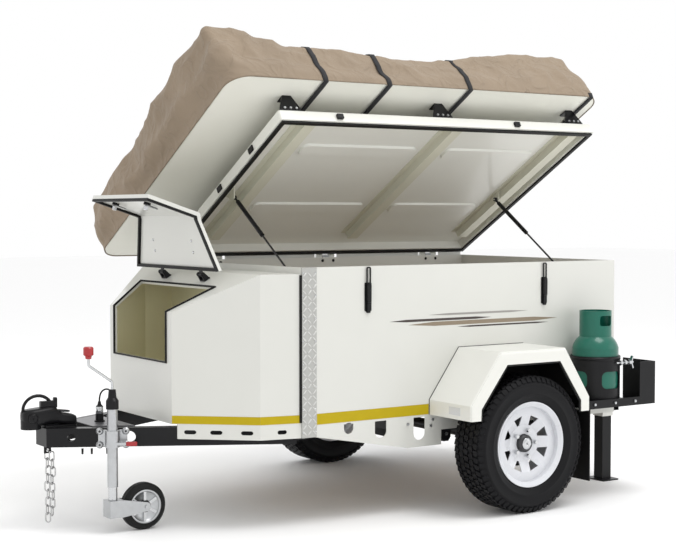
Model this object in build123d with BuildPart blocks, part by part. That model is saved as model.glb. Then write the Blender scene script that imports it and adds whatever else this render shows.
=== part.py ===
"""Off-road box caravan with a front locker, a hinged lid that carries a packed roof tent, and one axle.

Millimetres. X runs to the rear, Y to the trailer's right, Z up from the ground. The origin is on the
ground, midway along the trailer. The lid and the nose door stand open, and the trailer is parked on its
wheels, its jockey wheel and two rear legs.
"""
import math
import os

from build123d import *

# Running gear
AXLE_X = 615.0
WHEEL_R = 334.0
HALF_TRACK = 868.0
TYRE_HALF_WIDTH = 104.5
RIM_R = 208.0
RIM_HALF_WIDTH = 91.0
BEAD_R = 190.0
BARREL_R = 184.0
DISC_FACE = 34.0
HUB_HOLE_R = 45.0
SPINDLE_R = 20.0
DRUM_R = 118.0
AXLE_R = 28.0
SPRING_Y = 560.0
SPRING_WIDTH = 45.0
LEAF = 8.0
FRONT_EYE_X = AXLE_X - 280.0
REAR_EYE_X = AXLE_X + 320.0
EYE_Z = 372.0

# Body tub
BODY_FRONT = -500.0
BODY_REAR = 1467.0
BODY_HALF = 650.0
BODY_TOP = 1205.0
PANEL_BOTTOM = 475.0
WALL = 20.0
FLOOR_TOP = 490.0

# Nose locker
NOSE_FRONT = -1005.0
NOSE_BEND_X = -695.0
NOSE_FRONT_HALF = 330.0
NOSE_BEND_HALF = 600.0
NOSE_BACK_HALF = 645.0
NOSE_FLOOR = 488.0
NOSE_BROW = 1000.0
NOSE_ROOF = 1175.0
NOSE_WALL = 12.0
SKIRT_BOTTOM = 420.0
SKIRT_START = -985.0
SKIRT_SHEET = 3.0
MOUTH_HALF = 276.0
MOUTH_TOP_HALF = 382.0
MOUTH_BOTTOM = 770.0
MOUTH_TOP_X = -810.0
EDGING = 5.0

# Nose door
DOOR_LAP = 26.0
DOOR_GAP = 17.0
DOOR_THICK = 18.0
DOOR_PIVOT = (-782.0, 1165.0)
DOOR_OPEN = 108.0
DOOR_HINGE_Y = 200.0

# Lid and tent
LID_OPEN = 30.4
HINGE_Y = 662.0
HINGE_Z = 1212.0
LID_FRONT = -505.0
LID_REAR = 1475.0
LID_NEAR = 1325.0
LID_FAR = 12.0
LID_BASE = 10.0
LID_TOP = 60.0
LID_SKIN = 4.0
LID_FRAME = 40.0
LID_HINGES = (-250.0, 480.0, 1210.0)
RIB_STATIONS = (-313.0, 575.0, 1365.0)
SWAGE_ROWS = (450.0, 1010.0)
BRACKET_STATIONS = (-430.0, 472.0, 1359.0)
TENT_BASE = 150.0
TENT_BASE_TOP = 175.0
TENT_FRONT = -785.0
TENT_REAR = 1485.0
TENT_NEAR = 1450.0
TENT_FAR = -226.0
COVER_SHELL = 15.0

# Gas struts
STRUT_PLANES = {"front": (-395.0, 1), "rear": (1310.0, -1)}
STRUT_PIN_D = 600.0
STRUT_PIN_H = 20.0
STRUT_FOOT = (-400.0, 1150.0)
STRUT_TUBE = 330.0
STRUT_TUBE_R = 11.0
STRUT_ROD_R = 5.0
STRUT_OVERLAP = 30.0

# Drawbar
ARM_TIP = (-1485.0, 45.0)
ARM_RUN = (1000.0, 535.0)
ARM_WIDTH = 50.0
ARM_BOTTOM = 388.0
ARM_TOP = 474.0
HEAD_FRONT = -1505.0
HEAD_BACK = -1450.0
PLATE_TOP = ARM_TOP + 4.0
BALL = (-1555.0, 500.0)
BALL_R = 25.4
CHAIN_X = -1475.0
CHAIN_WIRE = 7.0
CHAIN_LINKS = 9

# Jockey wheel
JOCKEY = (-1258.0, -235.0)
JOCKEY_TUBE_R = 24.0
JOCKEY_LEG_R = 20.5
JOCKEY_TRAIL = 150.0
JOCKEY_WHEEL_R = 108.0
JOCKEY_WHEEL_HALF = 30.0

# Rear end
SHELF_FRONT = 1010.0
SHELF_REAR = 1485.0
SHELF_OUT = 930.0
SHELF_Z = 470.0
SHELF_SHEET = 4.0
LAMP_TOP = 690.0
BOTTLE = (1195.0, -790.0)
BOTTLE_R = 118.0
BEAM_BACK = 1513.0
LEG_X = 1551.0
LEG_Y = 480.0
LEG_SIZE = 64.0
SLEEVE_SIZE = 76.0
SLEEVE_GAP = 0.5

SIDES = {"left": -1, "right": 1}


def save(piece, name):
    """Label a finished piece and write it to its own file."""
    piece.label = name
    export_step(piece, f"parts/{name}.step")


def side_plane(y, facing=-1):
    """Vertical plane at a given Y whose sketch axes are X and Z; it faces -Y unless told otherwise."""
    if facing < 0:
        return Plane(origin=(0, y, 0), x_dir=(1, 0, 0), z_dir=(0, -1, 0))
    return Plane(origin=(0, y, 0), x_dir=(-1, 0, 0), z_dir=(0, 1, 0))


def lid_plane(height):
    """Plane of the open lid at a height above its base; sketch X is the trailer's X, sketch Y is -distance
    from the hinge."""
    tilt = math.radians(LID_OPEN)
    normal = (0, math.sin(tilt), math.cos(tilt))
    origin = (0, HINGE_Y + normal[1] * height, HINGE_Z + normal[2] * height)
    return Plane(origin=origin, x_dir=(1, 0, 0), z_dir=normal)


def lid_section(x):
    """Plane across the open lid at a given X; sketch X is distance from the hinge, sketch Y is height."""
    tilt = math.radians(LID_OPEN)
    return Plane(origin=(x, HINGE_Y, HINGE_Z), x_dir=(0, -math.cos(tilt), math.sin(tilt)), z_dir=(-1, 0, 0))


def lid_point(distance, height):
    """Y and Z of a point of the open lid."""
    point = lid_section(0).from_local_coords((distance, height, 0))
    return point.Y, point.Z


os.makedirs("parts", exist_ok=True)

# Drawbar arms with their round holes
arm_angle = math.atan2(ARM_RUN[1], ARM_RUN[0])
ARM_LENGTH = 1250.0
ARM_HOLES = ((102.0, 18.0), (365.0, 28.0))
for side, sign in SIDES.items():
    along = (math.cos(arm_angle), sign * math.sin(arm_angle), 0)
    across = (sign * math.sin(arm_angle), -math.cos(arm_angle), 0)
    arm_plane = Plane(origin=(ARM_TIP[0], sign * ARM_TIP[1], 0), x_dir=along, z_dir=across)
    with BuildPart() as arm:
        with BuildSketch(arm_plane):
            with Locations((ARM_LENGTH / 2 - 60, (ARM_TOP + ARM_BOTTOM) / 2)):
                Rectangle(ARM_LENGTH, ARM_TOP - ARM_BOTTOM)
            for run, radius in ARM_HOLES:
                with Locations((run, (ARM_TOP + ARM_BOTTOM) / 2)):
                    Circle(radius, mode=Mode.SUBTRACT)
        extrude(amount=ARM_WIDTH / 2, both=True)
        split(bisect_by=Plane.YZ.offset(HEAD_BACK), keep=Keep.TOP)
        split(bisect_by=Plane.YZ.offset(BODY_FRONT), keep=Keep.BOTTOM)
    save(arm.part, f"drawbar_{side}")

# Black steel members: drawbar head with its chain lug, cross members, spring hangers and rear beam
HEAD_FRONT_HALF = 62.0
HEAD_BACK_HALF = 92.0
LUG_BOTTOM = 352.0
LUG_HOLE_Z = 366.0
LUG_HOLE_R = 7.0
MEMBER_STATIONS = (-475.0, 65.0, 1125.0)
MEMBER_WIDTH = 50.0
MEMBER_BOTTOM = 405.0
RAIL_INNER = 605.0
HANGER_HALF = 29.0
HANGER_BOTTOM = 335.0
RAIL_REAR_Z = 395.0
HANGER_IN = SPRING_Y - 31.0
EYE_BOLT_R = 7.0
BEAM_BOTTOM = 400.0
with BuildPart() as frame_members:
    with BuildSketch(Plane.XY.offset(ARM_BOTTOM)):
        with BuildLine():
            Polyline(
                (HEAD_FRONT, -HEAD_FRONT_HALF),
                (HEAD_BACK, -HEAD_BACK_HALF),
                (HEAD_BACK, HEAD_BACK_HALF),
                (HEAD_FRONT, HEAD_FRONT_HALF),
                close=True,
            )
        make_face()
    extrude(amount=ARM_TOP - ARM_BOTTOM)
    with BuildSketch(side_plane(0)):
        with Locations((CHAIN_X, (LUG_BOTTOM + ARM_BOTTOM) / 2)):
            Rectangle(34, ARM_BOTTOM - LUG_BOTTOM)
        with Locations((CHAIN_X, LUG_HOLE_Z)):
            Circle(LUG_HOLE_R, mode=Mode.SUBTRACT)
    extrude(amount=3, both=True)
    for station in MEMBER_STATIONS:
        with BuildSketch(side_plane(-RAIL_INNER)):
            with Locations((station, (MEMBER_BOTTOM + PANEL_BOTTOM) / 2)):
                Rectangle(MEMBER_WIDTH, PANEL_BOTTOM - MEMBER_BOTTOM)
                Rectangle(MEMBER_WIDTH - 8, PANEL_BOTTOM - MEMBER_BOTTOM - 8, mode=Mode.SUBTRACT)
        extrude(amount=-2 * RAIL_INNER)
    for sign in SIDES.values():
        for eye_x in (FRONT_EYE_X, REAR_EYE_X):
            with BuildSketch(side_plane(sign * HANGER_IN)):
                with BuildLine():
                    Polyline(
                        (eye_x - HANGER_HALF, RAIL_REAR_Z),
                        (eye_x - HANGER_HALF, HANGER_BOTTOM + 20),
                        (eye_x - HANGER_HALF + 14, HANGER_BOTTOM),
                        (eye_x + HANGER_HALF - 14, HANGER_BOTTOM),
                        (eye_x + HANGER_HALF, HANGER_BOTTOM + 20),
                        (eye_x + HANGER_HALF, RAIL_REAR_Z),
                        close=True,
                    )
                make_face()
            extrude(amount=-sign * (BODY_HALF - 2 - HANGER_IN))
            with BuildSketch(side_plane(sign * (SPRING_Y - SPRING_WIDTH / 2 - 2))):
                with Locations((eye_x, HANGER_BOTTOM + 25)):
                    Rectangle(4 * HANGER_HALF, 58)
            extrude(amount=-sign * (SPRING_WIDTH + 4), mode=Mode.SUBTRACT)
        with BuildSketch(side_plane(sign * HANGER_IN)):
            with Locations((FRONT_EYE_X, EYE_Z)):
                Circle(EYE_BOLT_R)
        extrude(amount=-sign * (SPRING_WIDTH + 20))
    with BuildSketch(side_plane(-640)):
        with Locations(((BODY_REAR + BEAM_BACK) / 2, (BEAM_BOTTOM + SHELF_Z) / 2)):
            Rectangle(BEAM_BACK - BODY_REAR, SHELF_Z - BEAM_BOTTOM)
            Rectangle(BEAM_BACK - BODY_REAR - 8, SHELF_Z - BEAM_BOTTOM - 8, mode=Mode.SUBTRACT)
    extrude(amount=-1280)
save(frame_members.part, "frame_members")

# Zinc plate across the arms behind the coupling
PLATE_FRONT = -1305.0
PLATE_BACK = -1130.0
with BuildPart() as drawbar_plate:
    with BuildSketch(Plane.XY.offset(ARM_TOP)):
        with BuildLine():
            Polyline(
                (PLATE_FRONT, -120), (PLATE_BACK, -205), (PLATE_BACK, 205), (PLATE_FRONT, 120), close=True
            )
        make_face()
    extrude(amount=PLATE_TOP - ARM_TOP)
save(drawbar_plate.part, "drawbar_plate")

# Ball coupling: a domed socket on a tapered shank with a flat top rib
SOCKET_OUT_R = 46.0
SOCKET_LIP = 470.0
SOCKET_SPRING = 506.0
COUPLING_BACK = -1345.0
COUPLING_TOP = 550.0
SHANK_SLOPE = 90.0
with BuildPart() as coupling:
    with BuildSketch(side_plane(0)):
        with BuildLine():
            Polyline(
                (BALL[0], SOCKET_LIP),
                (BALL[0] + SOCKET_OUT_R, SOCKET_LIP),
                (BALL[0] + SOCKET_OUT_R, SOCKET_SPRING),
            )
            ThreePointArc(
                (BALL[0] + SOCKET_OUT_R, SOCKET_SPRING),
                (BALL[0] + SOCKET_OUT_R * math.sqrt(0.5), SOCKET_SPRING + 40 * math.sqrt(0.5)),
                (BALL[0], COUPLING_TOP - 4),
            )
            Line((BALL[0], COUPLING_TOP - 4), (BALL[0], SOCKET_LIP))
        make_face()
    revolve(axis=Axis((BALL[0], 0, 0), (0, 0, 1)))
    with BuildSketch(side_plane(0)):
        with BuildLine():
            Polyline(
                (BALL[0] - 34, COUPLING_TOP - 22),
                (BALL[0] - 34, COUPLING_TOP),
                (COUPLING_BACK - SHANK_SLOPE, COUPLING_TOP),
                (COUPLING_BACK, ARM_TOP + 16),
                (COUPLING_BACK, ARM_TOP),
                (HEAD_FRONT + 4, ARM_TOP),
                (HEAD_FRONT + 4, COUPLING_TOP - 22),
                close=True,
            )
        make_face()
    extrude(amount=22, both=True)
    with BuildSketch(Plane.XY.offset(ARM_TOP)):
        with Locations(((HEAD_FRONT + 4 + COUPLING_BACK) / 2, 0)):
            RectangleRounded(COUPLING_BACK - HEAD_FRONT - 4, 92, 14)
    extrude(amount=10)
    with BuildSketch(Plane.XY.offset(SOCKET_LIP)):
        with Locations((BALL[0], 0)):
            Circle(BALL_R)
    extrude(amount=SOCKET_SPRING - SOCKET_LIP, mode=Mode.SUBTRACT)
    with BuildSketch(side_plane(0)):
        with BuildLine():
            ThreePointArc(
                (BALL[0] + BALL_R, SOCKET_SPRING),
                (BALL[0] + BALL_R * math.sqrt(0.5), SOCKET_SPRING + BALL_R * math.sqrt(0.5)),
                (BALL[0], SOCKET_SPRING + BALL_R),
            )
            Polyline(
                (BALL[0], SOCKET_SPRING + BALL_R),
                (BALL[0], SOCKET_SPRING),
                (BALL[0] + BALL_R, SOCKET_SPRING),
            )
        make_face()
    revolve(axis=Axis((BALL[0], 0, 0), (0, 0, 1)), mode=Mode.SUBTRACT)
save(coupling.part, "coupling")

# Coupling lever: a bent strap with room for the fingers below it
LEVER_THICK = 9.0
LEVER_FRONT = BALL[0] - 32.0
LEVER_BACK = -1450.0
LEVER_TOP = 624.0
with BuildPart() as coupling_handle:
    with BuildSketch(side_plane(0)):
        with BuildLine():
            lever_line = FilletPolyline(
                (LEVER_FRONT + 5, COUPLING_TOP),
                (LEVER_FRONT + 8, LEVER_TOP - 38),
                (LEVER_FRONT + 62, LEVER_TOP - 4),
                (LEVER_BACK - 8, LEVER_TOP - 14),
                (LEVER_BACK, COUPLING_TOP),
                radius=16,
            )
            offset(lever_line, amount=LEVER_THICK, side=Side.LEFT)
        make_face()
    extrude(amount=15, both=True)
    split(bisect_by=Plane.XY.offset(COUPLING_TOP), keep=Keep.TOP)
save(coupling_handle.part, "coupling_handle")

# Safety chain: links in turn a quarter turn apart, the first one through the lug
LINK_STRAIGHT = 24.0
LINK_HALF = 10.0
LINK_STEP = LINK_STRAIGHT + 2 * LINK_HALF - CHAIN_WIRE - 0.8
with BuildPart() as link:
    with BuildSketch(Plane.XY.offset(-LINK_STRAIGHT / 2)):
        with Locations((-LINK_HALF, 0), (LINK_HALF, 0)):
            RegularPolygon(radius=CHAIN_WIRE / 2, side_count=6)
    extrude(amount=LINK_STRAIGHT)
    for bend_z, arc in ((LINK_STRAIGHT / 2, -180), (-LINK_STRAIGHT / 2, 180)):
        with BuildSketch(Plane.XY.offset(bend_z)):
            with Locations((LINK_HALF, 0)):
                RegularPolygon(radius=CHAIN_WIRE / 2, side_count=6)
        revolve(axis=Axis((0, 0, bend_z), (0, 1, 0)), revolution_arc=arc)
links = []
for index in range(CHAIN_LINKS):
    centre = LUG_HOLE_Z - LINK_STRAIGHT / 2 - LINK_HALF - index * LINK_STEP
    quarter = 90 if index % 2 == 0 else 0
    links.append(link.part.solid().moved(Location((CHAIN_X, 0, centre), (0, 0, quarter))))
safety_chain = Compound(children=links)
save(safety_chain, "safety_chain")

# Jockey jack: outer tube with its clamp against the left arm
CLAMP_BOTTOM = 392.0
CLAMP_TOP = 468.0
CLAMP_R = 33.0
GRIP_Z = 410.0
CLAMP_PLATE = 132.0
tube_bottom = 210.0
tube_top = 566.0
arm_left = Plane(
    origin=(JOCKEY[0], JOCKEY[1], 0),
    x_dir=(math.cos(arm_angle), -math.sin(arm_angle), 0),
    z_dir=(0, 0, 1),
)
arm_reach = (-JOCKEY[1] - ARM_TIP[1] - (JOCKEY[0] - ARM_TIP[0]) * math.tan(arm_angle)) * math.cos(arm_angle)
clamp_reach = arm_reach - ARM_WIDTH / 2
GRIP_START = 62.0
with BuildPart() as jockey_tube:
    with BuildSketch(Plane.XY.offset(tube_bottom)):
        with Locations(JOCKEY):
            Circle(JOCKEY_TUBE_R)
    extrude(amount=tube_top - tube_bottom)
    with BuildSketch(Plane.XY.offset(CLAMP_BOTTOM)):
        with Locations(JOCKEY):
            Circle(CLAMP_R)
    extrude(amount=CLAMP_TOP - CLAMP_BOTTOM)
    with BuildSketch(arm_left.offset(CLAMP_BOTTOM)):
        with Locations((0, clamp_reach / 2)):
            Rectangle(58, clamp_reach)
        with Locations((0, clamp_reach - 4)):
            Rectangle(CLAMP_PLATE, 8)
    extrude(amount=CLAMP_TOP - CLAMP_BOTTOM)
    with BuildSketch(arm_left.offset(GRIP_Z - 6)):
        with Locations((GRIP_START / 2, -CLAMP_R + 8)):
            Rectangle(GRIP_START, 12)
    extrude(amount=12)
    with BuildSketch(Plane.XY.offset(tube_bottom)):
        with Locations(JOCKEY):
            Circle(JOCKEY_LEG_R + 0.5)
    extrude(amount=tube_top - tube_bottom, mode=Mode.SUBTRACT)
save(jockey_tube.part, "jockey_tube")

# Jack head: a bell-shaped cap with the bent crank
CAP_TOP = 655.0
CRANK_ARM = 115.0
CRANK_R = 6.0
KNOB_BOTTOM = 800.0
KNOB_TOP = 855.0
crank_x = JOCKEY[0] - CRANK_ARM
with BuildPart() as jockey_head:
    with BuildSketch(side_plane(JOCKEY[1])):
        with BuildLine():
            Polyline(
                (JOCKEY[0], tube_top),
                (JOCKEY[0] + 29, tube_top),
                (JOCKEY[0] + 29, tube_top + 38),
                (JOCKEY[0] + 20, tube_top + 52),
                (JOCKEY[0] + 16, CAP_TOP),
                (JOCKEY[0], CAP_TOP),
                close=True,
            )
        make_face()
    revolve(axis=Axis((JOCKEY[0], JOCKEY[1], 0), (0, 0, 1)))
    with BuildLine(side_plane(JOCKEY[1])) as crank_path:
        FilletPolyline(
            (JOCKEY[0], CAP_TOP - 10),
            (JOCKEY[0], CAP_TOP + 35),
            (crank_x, KNOB_BOTTOM - 30),
            (crank_x, KNOB_BOTTOM),
            radius=14,
        )
    with BuildSketch(Plane(origin=crank_path.line @ 0, z_dir=crank_path.line % 0)):
        Circle(CRANK_R)
    sweep(path=crank_path.wire())
save(jockey_head.part, "jockey_head")

# Red grips: the crank's knob and the clamp lever's handle
GRIP_LENGTH = 50.0
with BuildPart() as jockey_grips:
    with BuildSketch(side_plane(JOCKEY[1])):
        with BuildLine():
            Polyline(
                (crank_x, KNOB_BOTTOM),
                (crank_x + 13, KNOB_BOTTOM),
                (crank_x + 15, KNOB_BOTTOM + 12),
                (crank_x + 23, KNOB_BOTTOM + 18),
                (crank_x + 23, KNOB_TOP - 6),
                (crank_x + 18, KNOB_TOP),
                (crank_x, KNOB_TOP),
                close=True,
            )
        make_face()
    revolve(axis=Axis((crank_x, JOCKEY[1], 0), (0, 0, 1)))
    with BuildSketch(arm_left.offset(GRIP_Z - 9)):
        with Locations((GRIP_START + GRIP_LENGTH / 2, -CLAMP_R + 8)):
            RectangleRounded(GRIP_LENGTH, 20, 8)
    extrude(amount=18)
save(jockey_grips.part, "jockey_grips")

# Inner leg that the crank winds, the fork that swivels on it, and the wheel
LEG_BOTTOM = 150.0
SWIVEL_R = 10.0
with BuildPart() as jockey_leg:
    with BuildSketch(Plane.XY.offset(LEG_BOTTOM + 0.4)):
        with Locations(JOCKEY):
            Circle(JOCKEY_LEG_R)
    extrude(amount=tube_top - 50 - LEG_BOTTOM)
    with BuildSketch(Plane.XY.offset(LEG_BOTTOM - 60)):
        with Locations(JOCKEY):
            Circle(SWIVEL_R)
    extrude(amount=70)
save(jockey_leg.part, "jockey_leg")

FORK_IN = 34.0
FORK_OUT = 39.0
AXLE_PIN_R = 8.0
jockey_axle = (JOCKEY[0] + JOCKEY_TRAIL, JOCKEY_WHEEL_R)
with BuildPart() as jockey_fork:
    with BuildSketch(side_plane(JOCKEY[1])):
        with BuildLine():
            Polyline(
                (JOCKEY[0] - 30, LEG_BOTTOM),
                (JOCKEY[0] + 40, LEG_BOTTOM),
                (jockey_axle[0] + 8, jockey_axle[1] + 20),
            )
            ThreePointArc(
                (jockey_axle[0] + 8, jockey_axle[1] + 20),
                (jockey_axle[0] + 21, jockey_axle[1]),
                (jockey_axle[0] + 8, jockey_axle[1] - 20),
            )
            Polyline(
                (jockey_axle[0] + 8, jockey_axle[1] - 20),
                (JOCKEY[0] + 34, 72),
                (JOCKEY[0] - 30, 72),
                (JOCKEY[0] - 30, LEG_BOTTOM),
            )
        make_face()
    extrude(amount=FORK_OUT, both=True)
    with BuildSketch(side_plane(JOCKEY[1])):
        with Locations(jockey_axle):
            Circle(JOCKEY_WHEEL_R + 8)
    extrude(amount=FORK_IN, both=True, mode=Mode.SUBTRACT)
    with BuildSketch(side_plane(JOCKEY[1])):
        with Locations(jockey_axle):
            Circle(AXLE_PIN_R)
    extrude(amount=FORK_OUT + 6, both=True)
    with BuildSketch(Plane.XY.offset(LEG_BOTTOM - 61)):
        with Locations(JOCKEY):
            Circle(SWIVEL_R + 0.05)
    extrude(amount=61, mode=Mode.SUBTRACT)
save(jockey_fork.part, "jockey_fork")

castor_plane = Plane(origin=(jockey_axle[0], JOCKEY[1], jockey_axle[1]), x_dir=(0, 0, 1), z_dir=(1, 0, 0))
with BuildPart() as jockey_wheel:
    with BuildSketch(castor_plane):
        with BuildLine():
            Polyline(
                (AXLE_PIN_R + 0.05, JOCKEY_WHEEL_HALF),
                (26, JOCKEY_WHEEL_HALF),
                (30, JOCKEY_WHEEL_HALF - 14),
                (66, JOCKEY_WHEEL_HALF - 14),
                (72, JOCKEY_WHEEL_HALF - 2),
                (98, JOCKEY_WHEEL_HALF - 4),
                (JOCKEY_WHEEL_R, JOCKEY_WHEEL_HALF - 16),
                (JOCKEY_WHEEL_R, -JOCKEY_WHEEL_HALF + 16),
                (98, -JOCKEY_WHEEL_HALF + 4),
                (72, -JOCKEY_WHEEL_HALF + 2),
                (66, -JOCKEY_WHEEL_HALF + 14),
                (30, -JOCKEY_WHEEL_HALF + 14),
                (26, -JOCKEY_WHEEL_HALF),
                (AXLE_PIN_R + 0.05, -JOCKEY_WHEEL_HALF),
                close=True,
            )
        make_face()
    revolve(axis=Axis((jockey_axle[0], JOCKEY[1], jockey_axle[1]), (0, 1, 0)))
save(jockey_wheel.part, "jockey_wheel")

# Trailer plug parked in its dummy socket, and the gland that its lead goes into
PLUG_X = -1215.0
PLUG_TOP = 572.0
LEAD_D = 8.0
LEAD_ROUTE = (
    (PLUG_X, 0, PLUG_TOP),
    (PLUG_X, 0, 606),
    (PLUG_X + 26, -4, 632),
    (PLUG_X + 58, -8, 622),
    (PLUG_X + 70, -11, 588),
    (PLUG_X + 68, -13, 551),
    (PLUG_X + 65, -12, 516),
    (PLUG_X + 65, -12, 490),
)
GLAND_R = 9.0
with BuildPart() as trailer_plug:
    with BuildSketch(side_plane(0)):
        with BuildLine():
            Polyline(
                (PLUG_X, PLATE_TOP),
                (PLUG_X + 24, PLATE_TOP),
                (PLUG_X + 24, PLATE_TOP + 6),
                (PLUG_X + 19, PLATE_TOP + 8),
                (PLUG_X + 19, PLATE_TOP + 36),
                (PLUG_X + 17, PLATE_TOP + 37),
                (PLUG_X + 17, PLATE_TOP + 72),
                (PLUG_X + 9, PLATE_TOP + 80),
                (PLUG_X + 7, PLUG_TOP),
                (PLUG_X, PLUG_TOP),
                close=True,
            )
        make_face()
    revolve(axis=Axis((PLUG_X, 0, 0), (0, 0, 1)))
    with BuildSketch(Plane.XY.offset(PLATE_TOP)):
        with Locations(LEAD_ROUTE[-1][:2]):
            Circle(GLAND_R)
    extrude(amount=LEAD_ROUTE[-1][2] - PLATE_TOP)
save(trailer_plug.part, "trailer_plug")


def corner_radii(route):
    """Largest arc for each inner corner of a cord's route that its two runs leave room for."""
    radii = []
    for before, corner, after in zip(route, route[1:], route[2:]):
        first = Vector(*corner) - Vector(*before)
        second = Vector(*after) - Vector(*corner)
        half_turn = math.radians(first.get_angle(second)) / 2
        radii.append(0.45 * min(first.length, second.length) / math.tan(half_turn))
    return radii


lead_radii = corner_radii(LEAD_ROUTE)
print("lead radii", [round(radius, 1) for radius in lead_radii])
with BuildPart() as plug_lead:
    with BuildLine() as lead_path:
        FilletPolyline(*LEAD_ROUTE, radius=lead_radii)
    with BuildSketch(Plane(origin=lead_path.line @ 0, z_dir=lead_path.line % 0)):
        Circle(LEAD_D / 2)
    sweep(path=lead_path.wire())
save(plug_lead.part, "plug_lead")

# Side rails: folded channels with D-shaped slots
RAIL_SHEET = 4.0
RAIL_FRONT_Z = 432.0
RAIL_DEEP_Z = 322.0
RAIL_DEEP = (101.0, 304.0)
SLOT_TOP = 466.0
RAIL_SLOTS = ((-243.0, 53.0, 419.0), (-59.0, 68.0, 384.0), (170.0, 69.0, 355.0))
for side, sign in SIDES.items():
    with BuildPart() as rail:
        with BuildSketch(side_plane(sign * BODY_HALF)) as rail_profile:
            with BuildLine():
                Polyline(
                    (BODY_FRONT, PANEL_BOTTOM),
                    (BODY_FRONT, RAIL_FRONT_Z),
                    (RAIL_DEEP[0], RAIL_DEEP_Z),
                    (RAIL_DEEP[1], RAIL_DEEP_Z),
                    (RAIL_DEEP[1], RAIL_REAR_Z),
                    (BODY_REAR, RAIL_REAR_Z),
                    (BODY_REAR, PANEL_BOTTOM),
                    close=True,
                )
            make_face()
        extrude(amount=sign * (BODY_HALF - RAIL_INNER))
        with BuildSketch(side_plane(sign * (BODY_HALF - RAIL_SHEET))):
            add(rail_profile.sketch_local)
            offset(amount=-RAIL_SHEET, mode=Mode.REPLACE)
        extrude(amount=sign * BODY_HALF, mode=Mode.SUBTRACT)
        with BuildSketch(side_plane(sign * BODY_HALF)):
            for slot_x, slot_width, slot_bottom in RAIL_SLOTS:
                slot_centre = slot_bottom + slot_width / 2
                with Locations((slot_x, slot_centre)):
                    Circle(slot_width / 2)
                with Locations((slot_x, (slot_centre + SLOT_TOP) / 2)):
                    Rectangle(slot_width, SLOT_TOP - slot_centre)
        extrude(amount=sign * RAIL_SHEET, mode=Mode.SUBTRACT)
    save(rail.part, f"rail_{side}")

# Body walls and floor
for side, sign in SIDES.items():
    with BuildPart() as body_side:
        with BuildSketch(side_plane(sign * (BODY_HALF - WALL / 2))):
            with Locations(((BODY_FRONT + BODY_REAR) / 2, (PANEL_BOTTOM + BODY_TOP) / 2)):
                Rectangle(BODY_REAR - BODY_FRONT, BODY_TOP - PANEL_BOTTOM)
        extrude(amount=WALL / 2, both=True)
        outer_corners = body_side.edges().filter_by(Axis.Z).group_by(Axis.Y)[0 if sign < 0 else -1]
        fillet(outer_corners, 8)
    save(body_side.part, f"body_side_{side}")

for name, wall_x in (("body_front", BODY_FRONT + WALL / 2), ("body_rear", BODY_REAR - WALL / 2)):
    with BuildPart() as end_wall:
        with BuildSketch(Plane.YZ.offset(wall_x)):
            with Locations((0, (PANEL_BOTTOM + BODY_TOP) / 2)):
                Rectangle(2 * (BODY_HALF - WALL), BODY_TOP - PANEL_BOTTOM)
        extrude(amount=WALL / 2, both=True)
    save(end_wall.part, name)

with BuildPart() as body_floor:
    with BuildSketch(Plane.XY.offset(PANEL_BOTTOM)):
        with Locations(((BODY_FRONT + BODY_REAR) / 2, 0)):
            Rectangle(BODY_REAR - BODY_FRONT - 2 * WALL, 2 * (BODY_HALF - WALL))
    extrude(amount=FLOOR_TOP - PANEL_BOTTOM)
save(body_floor.part, "body_floor")

# Chequer-plate guards round the body's front corners
GUARD_BACK = -423.0
GUARD_BOTTOM = 420.0
GUARD_SHEET = 2.5
with BuildPart() as corner_guards:
    with BuildSketch(Plane.XY.offset(GUARD_BOTTOM)):
        for sign in SIDES.values():
            with BuildLine():
                Polyline(
                    (GUARD_BACK, sign * BODY_HALF),
                    (GUARD_BACK, sign * (BODY_HALF + GUARD_SHEET)),
                    (BODY_FRONT - GUARD_SHEET, sign * (BODY_HALF + GUARD_SHEET)),
                    (BODY_FRONT - GUARD_SHEET, sign * (NOSE_BACK_HALF + 0.5)),
                    (BODY_FRONT, sign * (NOSE_BACK_HALF + 0.5)),
                    (BODY_FRONT, sign * BODY_HALF),
                    close=True,
                )
            make_face()
    extrude(amount=BODY_TOP - GUARD_BOTTOM)
save(corner_guards.part, "corner_guards")

# Nose locker: plan outline crossed with side outline, hollowed, with its mouth cut through two faces
PLAN = (
    (NOSE_FRONT, -NOSE_FRONT_HALF),
    (NOSE_BEND_X, -NOSE_BEND_HALF),
    (BODY_FRONT, -NOSE_BACK_HALF),
    (BODY_FRONT, NOSE_BACK_HALF),
    (NOSE_BEND_X, NOSE_BEND_HALF),
    (NOSE_FRONT, NOSE_FRONT_HALF),
)
PROFILE = (
    (NOSE_FRONT, NOSE_FLOOR),
    (NOSE_FRONT, NOSE_BROW),
    (NOSE_BEND_X, NOSE_ROOF),
    (BODY_FRONT, NOSE_ROOF),
    (BODY_FRONT, NOSE_FLOOR),
)
slope = math.atan2(NOSE_ROOF - NOSE_BROW, NOSE_BEND_X - NOSE_FRONT)
mouth_run = (MOUTH_TOP_X - NOSE_FRONT) / math.cos(slope)
front_face = Plane(origin=(NOSE_FRONT, 0, 0), x_dir=(0, -1, 0), z_dir=(-1, 0, 0))
brow_face = Plane(
    origin=(NOSE_FRONT, 0, NOSE_BROW), x_dir=(0, -1, 0), z_dir=(-math.sin(slope), 0, math.cos(slope))
)
SKIRT_HOLES = ((-940.0, 452.0), (-848.0, 452.0), (-740.0, 452.0), (-592.0, 452.0))


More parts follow.
